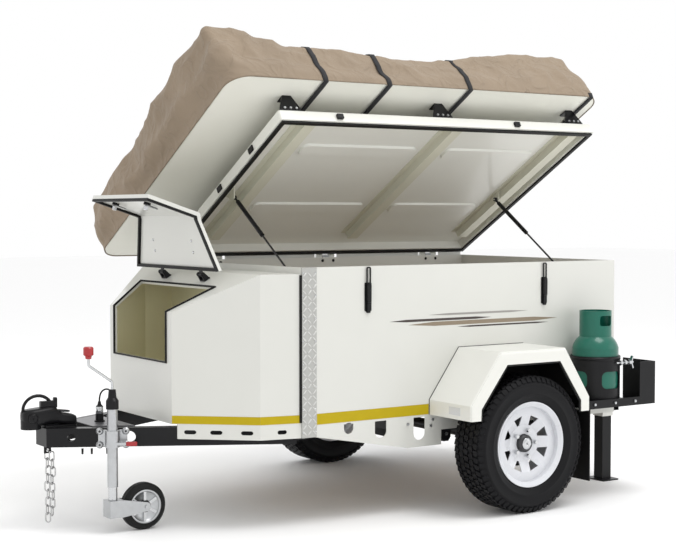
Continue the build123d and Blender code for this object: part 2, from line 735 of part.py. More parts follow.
def nose_block(inset):
    """Solid nose, drawn in from the outside by an inset."""
    with BuildPart() as block:
        with BuildSketch(Plane.XY):
            with BuildLine():
                Polyline(*PLAN, close=True)
            make_face()
            if inset:
                offset(amount=-inset, mode=Mode.REPLACE)
        extrude(amount=NOSE_ROOF + 100)
        with BuildSketch(side_plane(0)):
            with BuildLine():
                Polyline(*PROFILE, close=True)
            make_face()
            if inset:
                offset(amount=-inset, mode=Mode.REPLACE)
        extrude(amount=BODY_HALF + 100, both=True, mode=Mode.INTERSECT)
    return block.part


def mouth_outline(grow, bottom_grow):
    """Sketches of the mouth on the front face and on the slanted face, grown outwards."""
    taper = (MOUTH_TOP_HALF - MOUTH_HALF) / mouth_run
    low_half = MOUTH_HALF + grow
    high_half = MOUTH_HALF + grow + taper * (mouth_run + grow)
    with BuildSketch(front_face) as front:
        with Locations((0, (MOUTH_BOTTOM - bottom_grow + NOSE_BROW + 2) / 2)):
            Rectangle(2 * low_half, NOSE_BROW + 2 - MOUTH_BOTTOM + bottom_grow)
    with BuildSketch(brow_face) as brow:
        with BuildLine():
            Polyline(
                (-low_half, 0),
                (low_half, 0),
                (high_half, mouth_run + grow),
                (-high_half, mouth_run + grow),
                close=True,
            )
        make_face()
    return front.sketch, brow.sketch


mouth_front, mouth_brow = mouth_outline(0, 0)
nose_outer = nose_block(0)
nose_inner = nose_block(NOSE_WALL)
with BuildPart() as nose_shell:
    add(nose_outer)
    with BuildSketch(Plane.XY.offset(SKIRT_BOTTOM)):
        with BuildLine():
            Polyline(*PLAN, close=True)
        make_face()
        offset(amount=-SKIRT_SHEET, mode=Mode.SUBTRACT)
        with Locations((BODY_FRONT, 0)):
            Rectangle(2 * SKIRT_SHEET + 2, 2 * NOSE_BACK_HALF - 20, mode=Mode.SUBTRACT)
        with Locations(((NOSE_FRONT + SKIRT_START) / 2 - 50, 0)):
            Rectangle(SKIRT_START - NOSE_FRONT + 100, 2 * BODY_HALF, mode=Mode.SUBTRACT)
    extrude(amount=NOSE_FLOOR - SKIRT_BOTTOM)
    with BuildSketch(side_plane(0)):
        for hole_x, hole_z in SKIRT_HOLES:
            with Locations((hole_x, hole_z)):
                SlotOverall(44, 19)
    extrude(amount=BODY_HALF + 50, both=True, mode=Mode.SUBTRACT)
    add(nose_inner, mode=Mode.SUBTRACT)
    extrude(mouth_front, amount=NOSE_WALL + 20, both=True, mode=Mode.SUBTRACT)
    extrude(mouth_brow, amount=NOSE_WALL + 20, both=True, mode=Mode.SUBTRACT)
save(nose_shell.part, "nose_shell")

# Rubber edging round the mouth
EDGING_PROUD = 4.0
edging_front, edging_brow = mouth_outline(EDGING, EDGING)
with BuildPart() as nose_seal:
    extrude(edging_front - mouth_front, amount=EDGING_PROUD)
    extrude(edging_brow - mouth_brow, amount=EDGING_PROUD)
save(nose_seal.part, "nose_seal")

# Nose door, drawn shut and then swung open about its hinge line
door_axis = Axis((DOOR_PIVOT[0], 0, DOOR_PIVOT[1]), (0, 1, 0))


def swing_open(shape):
    """Turn a piece of the shut nose door to the open position."""
    return shape.rotate(door_axis, DOOR_OPEN)


def door_band(inner, outer, margin):
    """Two-panel band in front of the nose between two stand-offs, lapping the mouth by a margin."""
    fold = math.tan((math.pi / 2 - slope) / 2)
    top_run = mouth_run + margin
    inner_top = (
        NOSE_FRONT + top_run * math.cos(slope) - inner * math.sin(slope),
        NOSE_BROW + top_run * math.sin(slope) + inner * math.cos(slope),
    )
    outer_top = (
        NOSE_FRONT + top_run * math.cos(slope) - outer * math.sin(slope),
        NOSE_BROW + top_run * math.sin(slope) + outer * math.cos(slope),
    )
    taper = (MOUTH_TOP_HALF - MOUTH_HALF) / (MOUTH_TOP_X - NOSE_FRONT)
    low_half = MOUTH_HALF + margin
    end_x = NOSE_FRONT + mouth_run + 60
    with BuildPart() as band:
        with BuildSketch(side_plane(0)):
            with BuildLine():
                Polyline(
                    (NOSE_FRONT - inner, MOUTH_BOTTOM - margin),
                    (NOSE_FRONT - inner, NOSE_BROW + inner * fold),
                    inner_top,
                    outer_top,
                    (NOSE_FRONT - outer, NOSE_BROW + outer * fold),
                    (NOSE_FRONT - outer, MOUTH_BOTTOM - margin),
                    close=True,
                )
            make_face()
        extrude(amount=BODY_HALF, both=True)
        with BuildSketch(Plane.XY):
            with BuildLine():
                Polyline(
                    (NOSE_FRONT - 80, -low_half),
                    (NOSE_FRONT, -low_half),
                    (end_x, -low_half - taper * (end_x - NOSE_FRONT)),
                    (end_x, low_half + taper * (end_x - NOSE_FRONT)),
                    (NOSE_FRONT, low_half),
                    (NOSE_FRONT - 80, low_half),
                    close=True,
                )
            make_face()
        extrude(amount=NOSE_ROOF + 200, mode=Mode.INTERSECT)
    return band.part


SEAL_INNER = 11.0
SEAL_THICK = 12.0
with BuildPart() as nose_door:
    add(door_band(DOOR_GAP, DOOR_GAP + DOOR_THICK, DOOR_LAP))
nose_door_open = swing_open(nose_door.part)
save(nose_door_open, "nose_door")

with BuildPart() as nose_door_seal:
    add(door_band(DOOR_GAP - SEAL_THICK, DOOR_GAP, DOOR_LAP - 1))
    add(door_band(DOOR_GAP - SEAL_THICK - 8, DOOR_GAP + 8, SEAL_INNER), mode=Mode.SUBTRACT)
save(swing_open(nose_door_seal.part), "nose_door_seal")

# Nose hinges: blocks on the roof with their pins, and strap arms and latches on the door
PIN_R = 4.0
BARREL_R_NOSE = 9.0
EAR_IN = 14.0
EAR_OUT = 24.0
roof_normal = Vector(-math.sin(slope), 0, math.cos(slope))
roof_along = Vector(math.cos(slope), 0, math.sin(slope))
pivot_vector = Vector(DOOR_PIVOT[0], 0, DOOR_PIVOT[1])
pivot_height = (pivot_vector - Vector(NOSE_FRONT, 0, NOSE_BROW)).dot(roof_normal)
hinge_section = Plane(origin=pivot_vector, x_dir=roof_along, z_dir=(0, -1, 0))
with BuildPart() as nose_hinges:
    for hinge_y in (-DOOR_HINGE_Y, DOOR_HINGE_Y):
        for ear_y in (-EAR_OUT, EAR_IN):
            with BuildSketch(hinge_section.offset(-hinge_y - ear_y - (EAR_OUT - EAR_IN))):
                Circle(11)
                with BuildLine():
                    Polyline((-9, -6), (11, 0), (24, -pivot_height), (-9, -pivot_height), close=True)
                make_face()
            extrude(amount=EAR_OUT - EAR_IN)
        with BuildSketch(hinge_section.offset(-hinge_y - EAR_OUT)):
            with BuildLine():
                Polyline(
                    (-9, -pivot_height + 7),
                    (24, -pivot_height + 7),
                    (24, -pivot_height),
                    (-9, -pivot_height),
                    close=True,
                )
            make_face()
        extrude(amount=2 * EAR_OUT)
        with BuildSketch(hinge_section.offset(-hinge_y - EAR_OUT - 3)):
            Circle(PIN_R)
        extrude(amount=2 * EAR_OUT + 6)
save(nose_hinges.part, "nose_hinges")

ARM_REACH = 95.0
ARM_PLATE = 5.0
door_top = DOOR_GAP + DOOR_THICK - pivot_height
LATCH_Y = 170.0
LATCH_Z = 812.0
with BuildPart() as door_fittings:
    for hinge_y in (-DOOR_HINGE_Y, DOOR_HINGE_Y):
        with BuildSketch(hinge_section.offset(-hinge_y - EAR_IN + 1)):
            Circle(BARREL_R_NOSE)
            with BuildLine():
                Polyline(
                    (0, door_top + ARM_PLATE),
                    (-ARM_REACH, door_top + ARM_PLATE),
                    (-ARM_REACH, door_top),
                    (0, door_top),
                    close=True,
                )
            make_face()
            Circle(PIN_R + 0.05, mode=Mode.SUBTRACT)
        extrude(amount=2 * EAR_IN - 2)
    for latch_y in (-LATCH_Y, LATCH_Y):
        with BuildSketch(front_face.offset(DOOR_GAP - 12)):
            with Locations((-latch_y, LATCH_Z)):
                Circle(17)
        extrude(amount=12)
        with BuildSketch(front_face.offset(DOOR_GAP - 12)):
            with Locations((-latch_y, LATCH_Z + 26)):
                RectangleRounded(16, 60, 6)
        extrude(amount=3)
        with BuildSketch(front_face.offset(DOOR_GAP + DOOR_THICK)):
            with Locations((-latch_y, LATCH_Z)):
                Circle(22)
        extrude(amount=10, taper=12)
save(swing_open(door_fittings.part), "nose_door_fittings")

# Fenders: folded shells open below and over the wheel
FENDER_OUT = 975.0
FENDER_SHEET = 4.0
FENDER_OUTLINE = (
    (-385.0, 475.0), (-385.0, 548.0), (-205.0, 795.0), (210.0, 795.0), (372.0, 545.0), (372.0, 475.0)
)
FENDER_ARCH = (
    (-325.0, 470.0), (-322.0, 530.0), (-165.0, 732.0), (172.0, 732.0), (312.0, 530.0), (312.0, 470.0)
)
for side, sign in SIDES.items():
    with BuildPart() as fender:
        with BuildSketch(side_plane(sign * BODY_HALF)) as fender_profile:
            with BuildLine():
                Polyline(*[(AXLE_X + dx, z) for dx, z in FENDER_OUTLINE], close=True)
            make_face()
        extrude(amount=-sign * (FENDER_OUT - BODY_HALF))
        outer_face = fender.faces().sort_by(Axis.Y)[0 if sign < 0 else -1]
        bent_edges = outer_face.edges().sort_by(Axis.Z)[1:]
        fillet(bent_edges, 14)
        with BuildSketch(side_plane(sign * BODY_HALF)):
            with BuildLine():
                Polyline(*[(AXLE_X + dx, z) for dx, z in FENDER_OUTLINE], close=True)
            make_face()
            offset(amount=-FENDER_SHEET, mode=Mode.REPLACE)
            with Locations((AXLE_X, PANEL_BOTTOM)):
                Rectangle(690, 20)
        extrude(amount=-sign * (FENDER_OUT - BODY_HALF - FENDER_SHEET), mode=Mode.SUBTRACT)
        with BuildSketch(side_plane(sign * (FENDER_OUT + 1))):
            with BuildLine():
                Polyline(*[(AXLE_X + dx, z) for dx, z in FENDER_ARCH], close=True)
            make_face()
        extrude(amount=sign * 40, mode=Mode.SUBTRACT)
    save(fender.part, f"fender_{side}")

# Mudflaps behind the wheels
FLAP_X = AXLE_X + 372.0
with BuildPart() as mudflaps:
    for sign in SIDES.values():
        with BuildSketch(Plane.YZ.offset(FLAP_X)):
            with Locations((sign * 860, 300)):
                Rectangle(220, 360)
        extrude(amount=6)
save(mudflaps.part, "mudflaps")

# Axle: tube, spindles, brake backing plates and spring pads
BACKING_Y = 758.0
with BuildPart() as axle_beam:
    with BuildSketch(side_plane(-BACKING_Y)):
        with Locations((AXLE_X, WHEEL_R)):
            Circle(AXLE_R)
    extrude(amount=-2 * BACKING_Y)
    for sign in SIDES.values():
        with BuildSketch(side_plane(sign * BACKING_Y)):
            with Locations((AXLE_X, WHEEL_R)):
                Circle(DRUM_R + 4)
        extrude(amount=-sign * 6)
        with BuildSketch(side_plane(sign * BACKING_Y)):
            with Locations((AXLE_X, WHEEL_R)):
                Circle(SPINDLE_R)
        extrude(amount=-sign * (HALF_TRACK + 8 - BACKING_Y))
        with BuildSketch(Plane.XY.offset(WHEEL_R)):
            with Locations((AXLE_X, sign * SPRING_Y)):
                Rectangle(70, SPRING_WIDTH)
        extrude(amount=AXLE_R + 3.7)
save(axle_beam.part, "axle_beam")

# Leaf springs over the axle, with a front eye, a plain rear end and U-bolts
PACK_BOTTOM = WHEEL_R + AXLE_R + 4.0
PACK_TOP = PACK_BOTTOM + 4 * LEAF
LEAF_ENDS = (1.0, 0.78, 0.56, 0.34)
U_BOLT_R = 6.0
SPRING_R = 3300.0


def spring_point(radius, x):
    """Point of a leaf's arc; all leaves bend about one centre below the axle."""
    return x, PACK_TOP - SPRING_R + math.sqrt(radius**2 - (x - AXLE_X) ** 2)


with BuildPart() as leaf_springs:
    for sign in SIDES.values():
        spring_plane = side_plane(sign * SPRING_Y)
        for index, share in enumerate(LEAF_ENDS):
            front = AXLE_X + (FRONT_EYE_X - AXLE_X) * share
            rear = AXLE_X + (REAR_EYE_X + 25 - AXLE_X) * share
            upper = SPRING_R - index * LEAF
            lower = upper - LEAF
            top_arc = [spring_point(upper, x) for x in (front, AXLE_X, rear)]
            low_arc = [spring_point(lower, x) for x in (rear, AXLE_X, front)]
            with BuildSketch(spring_plane):
                with BuildLine():
                    ThreePointArc(*top_arc)
                    Line(top_arc[2], low_arc[0])
                    ThreePointArc(*low_arc)
                    Line(low_arc[2], top_arc[0])
                make_face()
            extrude(amount=SPRING_WIDTH / 2, both=True)
        with BuildSketch(spring_plane):
            with Locations((FRONT_EYE_X, EYE_Z)):
                Circle(EYE_BOLT_R + 9)
        extrude(amount=SPRING_WIDTH / 2, both=True)
        with BuildSketch(spring_plane):
            with Locations((FRONT_EYE_X, EYE_Z)):
                Circle(EYE_BOLT_R + 0.5)
        extrude(amount=SPRING_WIDTH, both=True, mode=Mode.SUBTRACT)
        with BuildSketch(Plane.XY.offset(PACK_TOP)):
            with Locations((AXLE_X, sign * SPRING_Y)):
                Rectangle(110, 76)
        extrude(amount=8)
        with BuildSketch(Plane.XY.offset(WHEEL_R - AXLE_R - 8)):
            with Locations((AXLE_X, sign * SPRING_Y)):
                Rectangle(110, 76)
        extrude(amount=8)
        with BuildSketch(Plane.XY.offset(WHEEL_R - AXLE_R - 18)):
            with Locations((AXLE_X, sign * SPRING_Y)):
                with GridLocations(82, 60, 2, 2):
                    Circle(U_BOLT_R)
        extrude(amount=PACK_TOP - WHEEL_R + AXLE_R + 36)
save(leaf_springs.part, "leaf_springs")

# Wheels: rim with eight windows, tyre and hub
WINDOW_IN = 92.0
WINDOW_OUT = 137.0
WINDOW_HALF_IN = 7.0
WINDOW_HALF_OUT = 27.0


def wheel_plane(sign):
    """Half-section plane of a wheel: sketch X is radius, sketch Y is distance outboard of the centre."""
    return Plane(
        origin=(AXLE_X, sign * HALF_TRACK, WHEEL_R), x_dir=(0, 0, 1), z_dir=(-sign, 0, 0)
    )


for side, sign in SIDES.items():
    wheel_axis = Axis((AXLE_X, sign * HALF_TRACK, WHEEL_R), (0, 1, 0))
    with BuildPart() as tyre:
        with BuildSketch(wheel_plane(sign)):
            with BuildLine():
                Polyline(
                    (BEAD_R + 0.3, -79.6),
                    (BEAD_R + 0.3, 79.6),
                    (RIM_R + 1, 83.8),
                    (262, TYRE_HALF_WIDTH),
                    (316, 98),
                    (WHEEL_R, 78),
                    (WHEEL_R, -78),
                    (316, -98),
                    (262, -TYRE_HALF_WIDTH),
                    (RIM_R + 1, -83.8),
                    close=True,
                )
            make_face()
        revolve(axis=wheel_axis)
    save(tyre.part, f"tyre_{side}")

    with BuildPart() as rim:
        with BuildSketch(wheel_plane(sign)):
            with BuildLine():
                Polyline(
                    (RIM_R, RIM_HALF_WIDTH),
                    (RIM_R, 84),
                    (BEAD_R, 80),
                    (BEAD_R, -80),
                    (RIM_R, -84),
                    (RIM_R, -RIM_HALF_WIDTH),
                    (RIM_R - 5, -RIM_HALF_WIDTH),
                    (BARREL_R, -80),
                    (BARREL_R, 78),
                    (RIM_R - 5, RIM_HALF_WIDTH),
                    close=True,
                )
            make_face()
            with BuildLine():
                Polyline(
                    (BARREL_R + 1, 54),
                    (140, 56),
                    (88, DISC_FACE),
                    (HUB_HOLE_R, DISC_FACE),
                    (HUB_HOLE_R, DISC_FACE - 6),
                    (86, DISC_FACE - 6),
                    (137, 50),
                    (BARREL_R + 1, 48),
                    close=True,
                )
            make_face()
        revolve(axis=wheel_axis)
        with BuildSketch(side_plane(sign * (HALF_TRACK + 20))):
            with Locations((AXLE_X, WHEEL_R)):
                with PolarLocations(0, 8, start_angle=22.5):
                    Polygon(
                        (WINDOW_IN, -WINDOW_HALF_IN),
                        (WINDOW_OUT, -WINDOW_HALF_OUT),
                        (WINDOW_OUT, WINDOW_HALF_OUT),
                        (WINDOW_IN, WINDOW_HALF_IN),
                        align=None,
                    )
        extrude(amount=-sign * 50, mode=Mode.SUBTRACT)
    save(rim.part, f"rim_{side}")

    with BuildPart() as hub:
        with BuildSketch(wheel_plane(sign)):
            with BuildLine():
                Polyline(
                    (SPINDLE_R + 0.05, -95),
                    (DRUM_R, -95),
                    (DRUM_R, -12),
                    (62, 2),
                    (62, 16),
                    (75, 16),
                    (75, DISC_FACE - 6),
                    (43, DISC_FACE - 6),
                    (43, DISC_FACE + 16),
                    (36, DISC_FACE + 24),
                    (0, DISC_FACE + 24),
                    (0, 12),
                    (SPINDLE_R + 0.05, 12),
                    close=True,
                )
            make_face()
        revolve(axis=wheel_axis)
    save(hub.part, f"hub_{side}")

# Rear shelves with their lips and lamp boxes; the left one holds the bottle in a ring with four windows
SHELF_LIP = 42.0
LAMP_FRONT = 1375.0
LAMP_IN = 700.0
RING_GAP = 4.0
RING_SHEET = 4.0
RING_TOP = 725.0
RING_WINDOW_Z = 606.0
for side, sign in SIDES.items():
    with BuildPart() as shelf:
        with BuildSketch(Plane.XY.offset(SHELF_Z)):
            with Locations(((SHELF_FRONT + SHELF_REAR) / 2, sign * (BODY_HALF + SHELF_OUT) / 2)):
                Rectangle(SHELF_REAR - SHELF_FRONT, SHELF_OUT - BODY_HALF)
        extrude(amount=SHELF_SHEET)
        with BuildSketch(Plane.XY.offset(SHELF_Z)):
            with Locations(((SHELF_FRONT + SHELF_REAR) / 2, sign * (SHELF_OUT - SHELF_SHEET / 2))):
                Rectangle(SHELF_REAR - SHELF_FRONT, SHELF_SHEET)
            with Locations((SHELF_FRONT + SHELF_SHEET / 2, sign * (BODY_HALF + SHELF_OUT) / 2)):
                Rectangle(SHELF_SHEET, SHELF_OUT - BODY_HALF)
        extrude(amount=SHELF_LIP)
        with BuildSketch(Plane.XY.offset(SHELF_Z)):
            with Locations(((LAMP_FRONT + SHELF_REAR) / 2, sign * (SHELF_OUT - SHELF_SHEET / 2))):
                Rectangle(SHELF_REAR - LAMP_FRONT, SHELF_SHEET)
            with Locations((SHELF_REAR - SHELF_SHEET / 2, sign * (LAMP_IN + SHELF_OUT) / 2)):
                Rectangle(SHELF_SHEET, SHELF_OUT - LAMP_IN)
        extrude(amount=LAMP_TOP - SHELF_Z)
        if side == "left":
            with BuildSketch(Plane.XY.offset(SHELF_Z)):
                with Locations(BOTTLE):
                    Circle(BOTTLE_R + RING_GAP + RING_SHEET)
                    Circle(BOTTLE_R + RING_GAP, mode=Mode.SUBTRACT)
            extrude(amount=RING_TOP - SHELF_Z)
            for across in (Plane.XZ, Plane.YZ):
                window = Plane(origin=(*BOTTLE, RING_WINDOW_Z), x_dir=across.x_dir, z_dir=across.z_dir)
                with BuildSketch(window):
                    RectangleRounded(118, 88, 28)
                extrude(amount=BOTTLE_R + 9, both=True, mode=Mode.SUBTRACT)
    save(shelf.part, f"shelf_{side}")

# Gas bottle with foot ring, shoulder, collar and valve
BOTTLE_FOOT = SHELF_Z + SHELF_SHEET
BOTTLE_SHOULDER = 765.0
BOTTLE_CROWN = 848.0
COLLAR_R = 82.0
COLLAR_TOP = 955.0
with BuildPart() as gas_bottle:
    with BuildSketch(side_plane(BOTTLE[1])):
        with BuildLine():
            Polyline(
                (BOTTLE[0], BOTTLE_FOOT + 14),
                (BOTTLE[0] + 88, BOTTLE_FOOT + 14),
                (BOTTLE[0] + 88, BOTTLE_FOOT),
                (BOTTLE[0] + 94, BOTTLE_FOOT),
                (BOTTLE[0] + 94, BOTTLE_FOOT + 18),
                (BOTTLE[0] + BOTTLE_R, BOTTLE_FOOT + 52),
                (BOTTLE[0] + BOTTLE_R, BOTTLE_SHOULDER),
            )
            ThreePointArc(
                (BOTTLE[0] + BOTTLE_R, BOTTLE_SHOULDER),
                (BOTTLE[0] + 84, BOTTLE_SHOULDER + 56),
                (BOTTLE[0] + 16, BOTTLE_CROWN),
            )
            Polyline(
                (BOTTLE[0] + 16, BOTTLE_CROWN),
                (BOTTLE[0] + 14, BOTTLE_CROWN + 60),
                (BOTTLE[0] + 26, BOTTLE_CROWN + 62),
                (BOTTLE[0] + 26, BOTTLE_CROWN + 80),
                (BOTTLE[0], BOTTLE_CROWN + 80),
                (BOTTLE[0], BOTTLE_FOOT + 14),
            )
        make_face()
    revolve(axis=Axis((BOTTLE[0], BOTTLE[1], 0), (0, 0, 1)))
    with BuildSketch(Plane.XY.offset(BOTTLE_SHOULDER + 45)):
        with Locations(BOTTLE):
            Circle(COLLAR_R)
            Circle(COLLAR_R - 4, mode=Mode.SUBTRACT)
    extrude(amount=COLLAR_TOP - BOTTLE_SHOULDER - 45)
    with BuildSketch(side_plane(BOTTLE[1])):
        with Locations((BOTTLE[0], 905)):
            RectangleRounded(76, 52, 12)
    extrude(amount=COLLAR_R + 10, both=True, mode=Mode.SUBTRACT)
    with BuildSketch(Plane.XY.offset(BOTTLE_CROWN - 6)):
        with Locations(BOTTLE):
            Circle(14)
    extrude(amount=70)
    with BuildSketch(Plane.XY.offset(BOTTLE_CROWN + 62)):
        with Locations(BOTTLE):
            Circle(26)
    extrude(amount=18)
save(gas_bottle.part, "gas_bottle")

# Tail lamps on the lamp boxes
with BuildPart() as tail_lamps:
    for sign in SIDES.values():
        with BuildSketch(Plane.YZ.offset(SHELF_REAR)):
            with Locations((sign * 815, 600)):
                RectangleRounded(180, 100, 14)
        extrude(amount=24, taper=8)
save(tail_lamps.part, "tail_lamps")

# Rear legs in their sleeves
SLEEVE_BOTTOM = 350.0
LEG_TOP = 480.0
LEG_WALL = 4.0
with BuildPart() as leg_sleeves:
    for sign in SIDES.values():
        with BuildSketch(Plane.XY.offset(SLEEVE_BOTTOM)):
            with Locations((LEG_X, sign * LEG_Y)):
                Rectangle(SLEEVE_SIZE, SLEEVE_SIZE)
                Rectangle(LEG_SIZE + 2 * SLEEVE_GAP, LEG_SIZE + 2 * SLEEVE_GAP, mode=Mode.SUBTRACT)
        extrude(amount=SHELF_Z - SLEEVE_BOTTOM)
save(leg_sleeves.part, "leg_sleeves")

for side, sign in SIDES.items():
    with BuildPart() as rear_leg:
        with BuildSketch(Plane.XY):
            with Locations((LEG_X, sign * LEG_Y)):
                RectangleRounded(116, 140, 10)
        extrude(amount=6)
        with BuildSketch(Plane.XY.offset(6)):
            with Locations((LEG_X, sign * LEG_Y)):
                Rectangle(LEG_SIZE, LEG_SIZE)
                Rectangle(LEG_SIZE - 2 * LEG_WALL, LEG_SIZE - 2 * LEG_WALL, mode=Mode.SUBTRACT)
        extrude(amount=LEG_TOP - 6)
    save(rear_leg.part, f"rear_leg_{side}")

# Draw latches on the left wall
LATCH_STATIONS = (-135.0, 965.0)
latch_face = side_plane(-BODY_HALF)
with BuildPart() as side_latches:
    for station in LATCH_STATIONS:
        with BuildSketch(latch_face):
            with Locations((station, 1060)):
                RectangleRounded(38, 136, 6)
        extrude(amount=4)
        with BuildSketch(latch_face):
            with Locations((station, 1078)):
                RectangleRounded(26, 92, 8)
        extrude(amount=17, taper=8)
        with BuildSketch(latch_face):
            with Locations((station, 1010)):
                RectangleRounded(18, 52, 6)
        extrude(amount=11)
        with BuildSketch(latch_face.offset(5)):
            with Locations((station, 1160)):
                RectangleRounded(24, 84, 10)
                RectangleRounded(13, 73, 5, mode=Mode.SUBTRACT)
        extrude(amount=5.5)
save(side_latches.part, "side_latches")

# Lid hinges on the right wall, with their pins
KNUCKLE_R = 8.0
KNUCKLE_HALF = 20.0
WING_HALF = 60.0
hinge_wall = side_plane(BODY_HALF)
with BuildPart() as lid_hinges:
    for station in LID_HINGES:
        with BuildSketch(hinge_wall):
            with Locations((station, 1152)):
                Rectangle(2 * WING_HALF, 104)
        extrude(amount=-5)
        with BuildSketch(Plane.YZ.offset(station - KNUCKLE_HALF)):
            with Locations((HINGE_Y, HINGE_Z)):
                Circle(KNUCKLE_R)
            with Locations(((BODY_HALF + HINGE_Y) / 2, 1198)):
                Rectangle(HINGE_Y - BODY_HALF, 18)
        extrude(amount=2 * KNUCKLE_HALF)
        with BuildSketch(Plane.YZ.offset(station - WING_HALF)):
            with Locations((HINGE_Y, HINGE_Z)):
                Circle(PIN_R)
        extrude(amount=2 * WING_HALF)
    for strut_x, inward in STRUT_PLANES.values():
        wall_x = BODY_FRONT + WALL if inward > 0 else BODY_REAR - WALL
        foot_plane = Plane(origin=(wall_x, *STRUT_FOOT), x_dir=(0, 1, 0), z_dir=(inward, 0, 0))
        with BuildSketch(foot_plane):
            RectangleRounded(64, 50, 8)
        extrude(amount=5)
        with BuildSketch(foot_plane):
            Circle(9)
        extrude(amount=abs(strut_x - wall_x) - 8)
save(lid_hinges.part, "lid_hinges")

# Lid pan: skin, box edge, pressed swages and its hinge leaves
bay_ends = [LID_FRONT + LID_FRAME] + list(RIB_STATIONS) + [LID_REAR - LID_FRAME]
RIB_HALF = 65.0
with BuildPart() as lid_pan:
    with BuildSketch(lid_plane(LID_BASE)):
        with Locations(((LID_FRONT + LID_REAR) / 2, -(LID_NEAR + LID_FAR) / 2)):
            RectangleRounded(LID_REAR - LID_FRONT, LID_NEAR - LID_FAR, 12)
    extrude(amount=LID_TOP - LID_BASE)
    with BuildSketch(lid_plane(LID_BASE)):
        with Locations(((LID_FRONT + LID_REAR) / 2, -(LID_NEAR + LID_FAR) / 2)):
            Rectangle(LID_REAR - LID_FRONT - 2 * LID_FRAME, LID_NEAR - LID_FAR - 2 * LID_FRAME)
    extrude(amount=LID_TOP - LID_BASE - LID_SKIN, mode=Mode.SUBTRACT)
    for start, end in zip(RIB_STATIONS, RIB_STATIONS[1:]):
        for row in SWAGE_ROWS:
            with BuildSketch(lid_plane(LID_TOP - LID_SKIN)):
                with Locations(((start + end) / 2, -row)):
                    RectangleRounded(end - start - 2 * RIB_HALF - 60, 96, 36)
            extrude(amount=-10, taper=35)
    for station in LID_HINGES:
        for wing in (-1, 1):
            wing_start = station + KNUCKLE_HALF + 1 if wing > 0 else station - WING_HALF
            wing_plane = lid_section(wing_start + WING_HALF - KNUCKLE_HALF - 1)
            with BuildSketch(wing_plane):
                Circle(KNUCKLE_R)
                with Locations((LID_FAR / 2, 14)):
                    Rectangle(LID_FAR, 20)
                with Locations((LID_FAR - 2.5, 28)):
                    Rectangle(5, 44)
                Circle(PIN_R + 0.05, mode=Mode.SUBTRACT)
            extrude(amount=WING_HALF - KNUCKLE_HALF - 1)
save(lid_pan.part, "lid_pan")

# Hat ribs across the lid, and the struts' upper lugs
RIB_START = 170.0
RIB_END = 1270.0
RIB_DROP = 16.0
LUG_THICK = 6.0
rib_ceiling = LID_TOP - LID_SKIN
tilt = math.radians(LID_OPEN)
with BuildPart() as lid_ribs:
    for station in RIB_STATIONS:
        foot = Vector(station, *lid_point(RIB_START, 0))
        rib_plane = Plane(origin=foot, x_dir=(1, 0, 0), z_dir=(0, -math.cos(tilt), math.sin(tilt)))
        with BuildSketch(rib_plane):
            with BuildLine():
                Polyline(
                    (-RIB_HALF, rib_ceiling),
                    (-RIB_HALF, rib_ceiling - 3),
                    (-34, rib_ceiling - 3),
                    (-31, RIB_DROP),
                    (31, RIB_DROP),
                    (34, rib_ceiling - 3),
                    (RIB_HALF, rib_ceiling - 3),
                    (RIB_HALF, rib_ceiling),
                    close=True,
                )
            make_face()
        extrude(amount=RIB_END - RIB_START)
    for strut_x, inward in STRUT_PLANES.values():
        lug_face = lid_section(strut_x - inward * 10)
        with BuildSketch(lug_face):
            with BuildLine():
                Polyline(
                    (STRUT_PIN_D - 45, rib_ceiling),
                    (STRUT_PIN_D - 14, STRUT_PIN_H - 12),
                    (STRUT_PIN_D + 14, STRUT_PIN_H - 12),
                    (STRUT_PIN_D + 45, rib_ceiling),
                    close=True,
                )
            make_face()
        extrude(amount=inward * LUG_THICK)
        with BuildSketch(lug_face):
            with Locations((STRUT_PIN_D, STRUT_PIN_H)):
                Circle(PIN_R)
        extrude(amount=-inward * 20)
save(lid_ribs.part, "lid_ribs")

# Rubber seal under the lid's edge
SEAL_INSET = 10.0
SEAL_WIDTH = 20.0
with BuildPart() as lid_seal:
    with BuildSketch(lid_plane(0)):
        with Locations(((LID_FRONT + LID_REAR) / 2, -(LID_NEAR + LID_FAR) / 2)):
            Rectangle(LID_REAR - LID_FRONT - 2 * SEAL_INSET, LID_NEAR - LID_FAR - 2 * SEAL_INSET)
            Rectangle(
                LID_REAR - LID_FRONT - 2 * SEAL_INSET - 2 * SEAL_WIDTH,
                LID_NEAR - LID_FAR - 2 * SEAL_INSET - 2 * SEAL_WIDTH,
                mode=Mode.SUBTRACT,
            )
    extrude(amount=LID_BASE)
save(lid_seal.part, "lid_seal")

# Folded brackets between the lid and the tent's base
BRACKET_ROWS = (70.0, 1290.0)
with BuildPart() as tent_brackets:
    for station in BRACKET_STATIONS:
        for row in BRACKET_ROWS:
            outward = 1 if row > 600 else -1
            foot = Vector(station, *lid_point(row + outward * 24, 0))
            bracket_plane = Plane(origin=foot, x_dir=(1, 0, 0), z_dir=(0, -math.cos(tilt), math.sin(tilt)))
            with BuildSketch(bracket_plane):
                with BuildLine():
                    Polyline((-66, LID_TOP), (-24, TENT_BASE), (24, TENT_BASE), (66, LID_TOP), close=True)
                make_face()
            extrude(amount=outward * 5)
            with BuildSketch(lid_plane(LID_TOP)):
                with Locations((station, -row)):
                    Rectangle(132, 48)
            extrude(amount=5)
            with BuildSketch(lid_plane(TENT_BASE)):
                with Locations((station, -row)):
                    Rectangle(48, 48)
            extrude(amount=-5)
save(tent_brackets.part, "tent_brackets")

# Tent base board with rounded corners
with BuildPart() as tent_base:
    with BuildSketch(lid_plane(TENT_BASE)):
        with Locations(((TENT_FRONT + TENT_REAR) / 2, -(TENT_NEAR + TENT_FAR) / 2)):
            RectangleRounded(TENT_REAR - TENT_FRONT, TENT_NEAR - TENT_FAR, 100)
    extrude(amount=TENT_BASE_TOP - TENT_BASE)
save(tent_base.part, "tent_base")

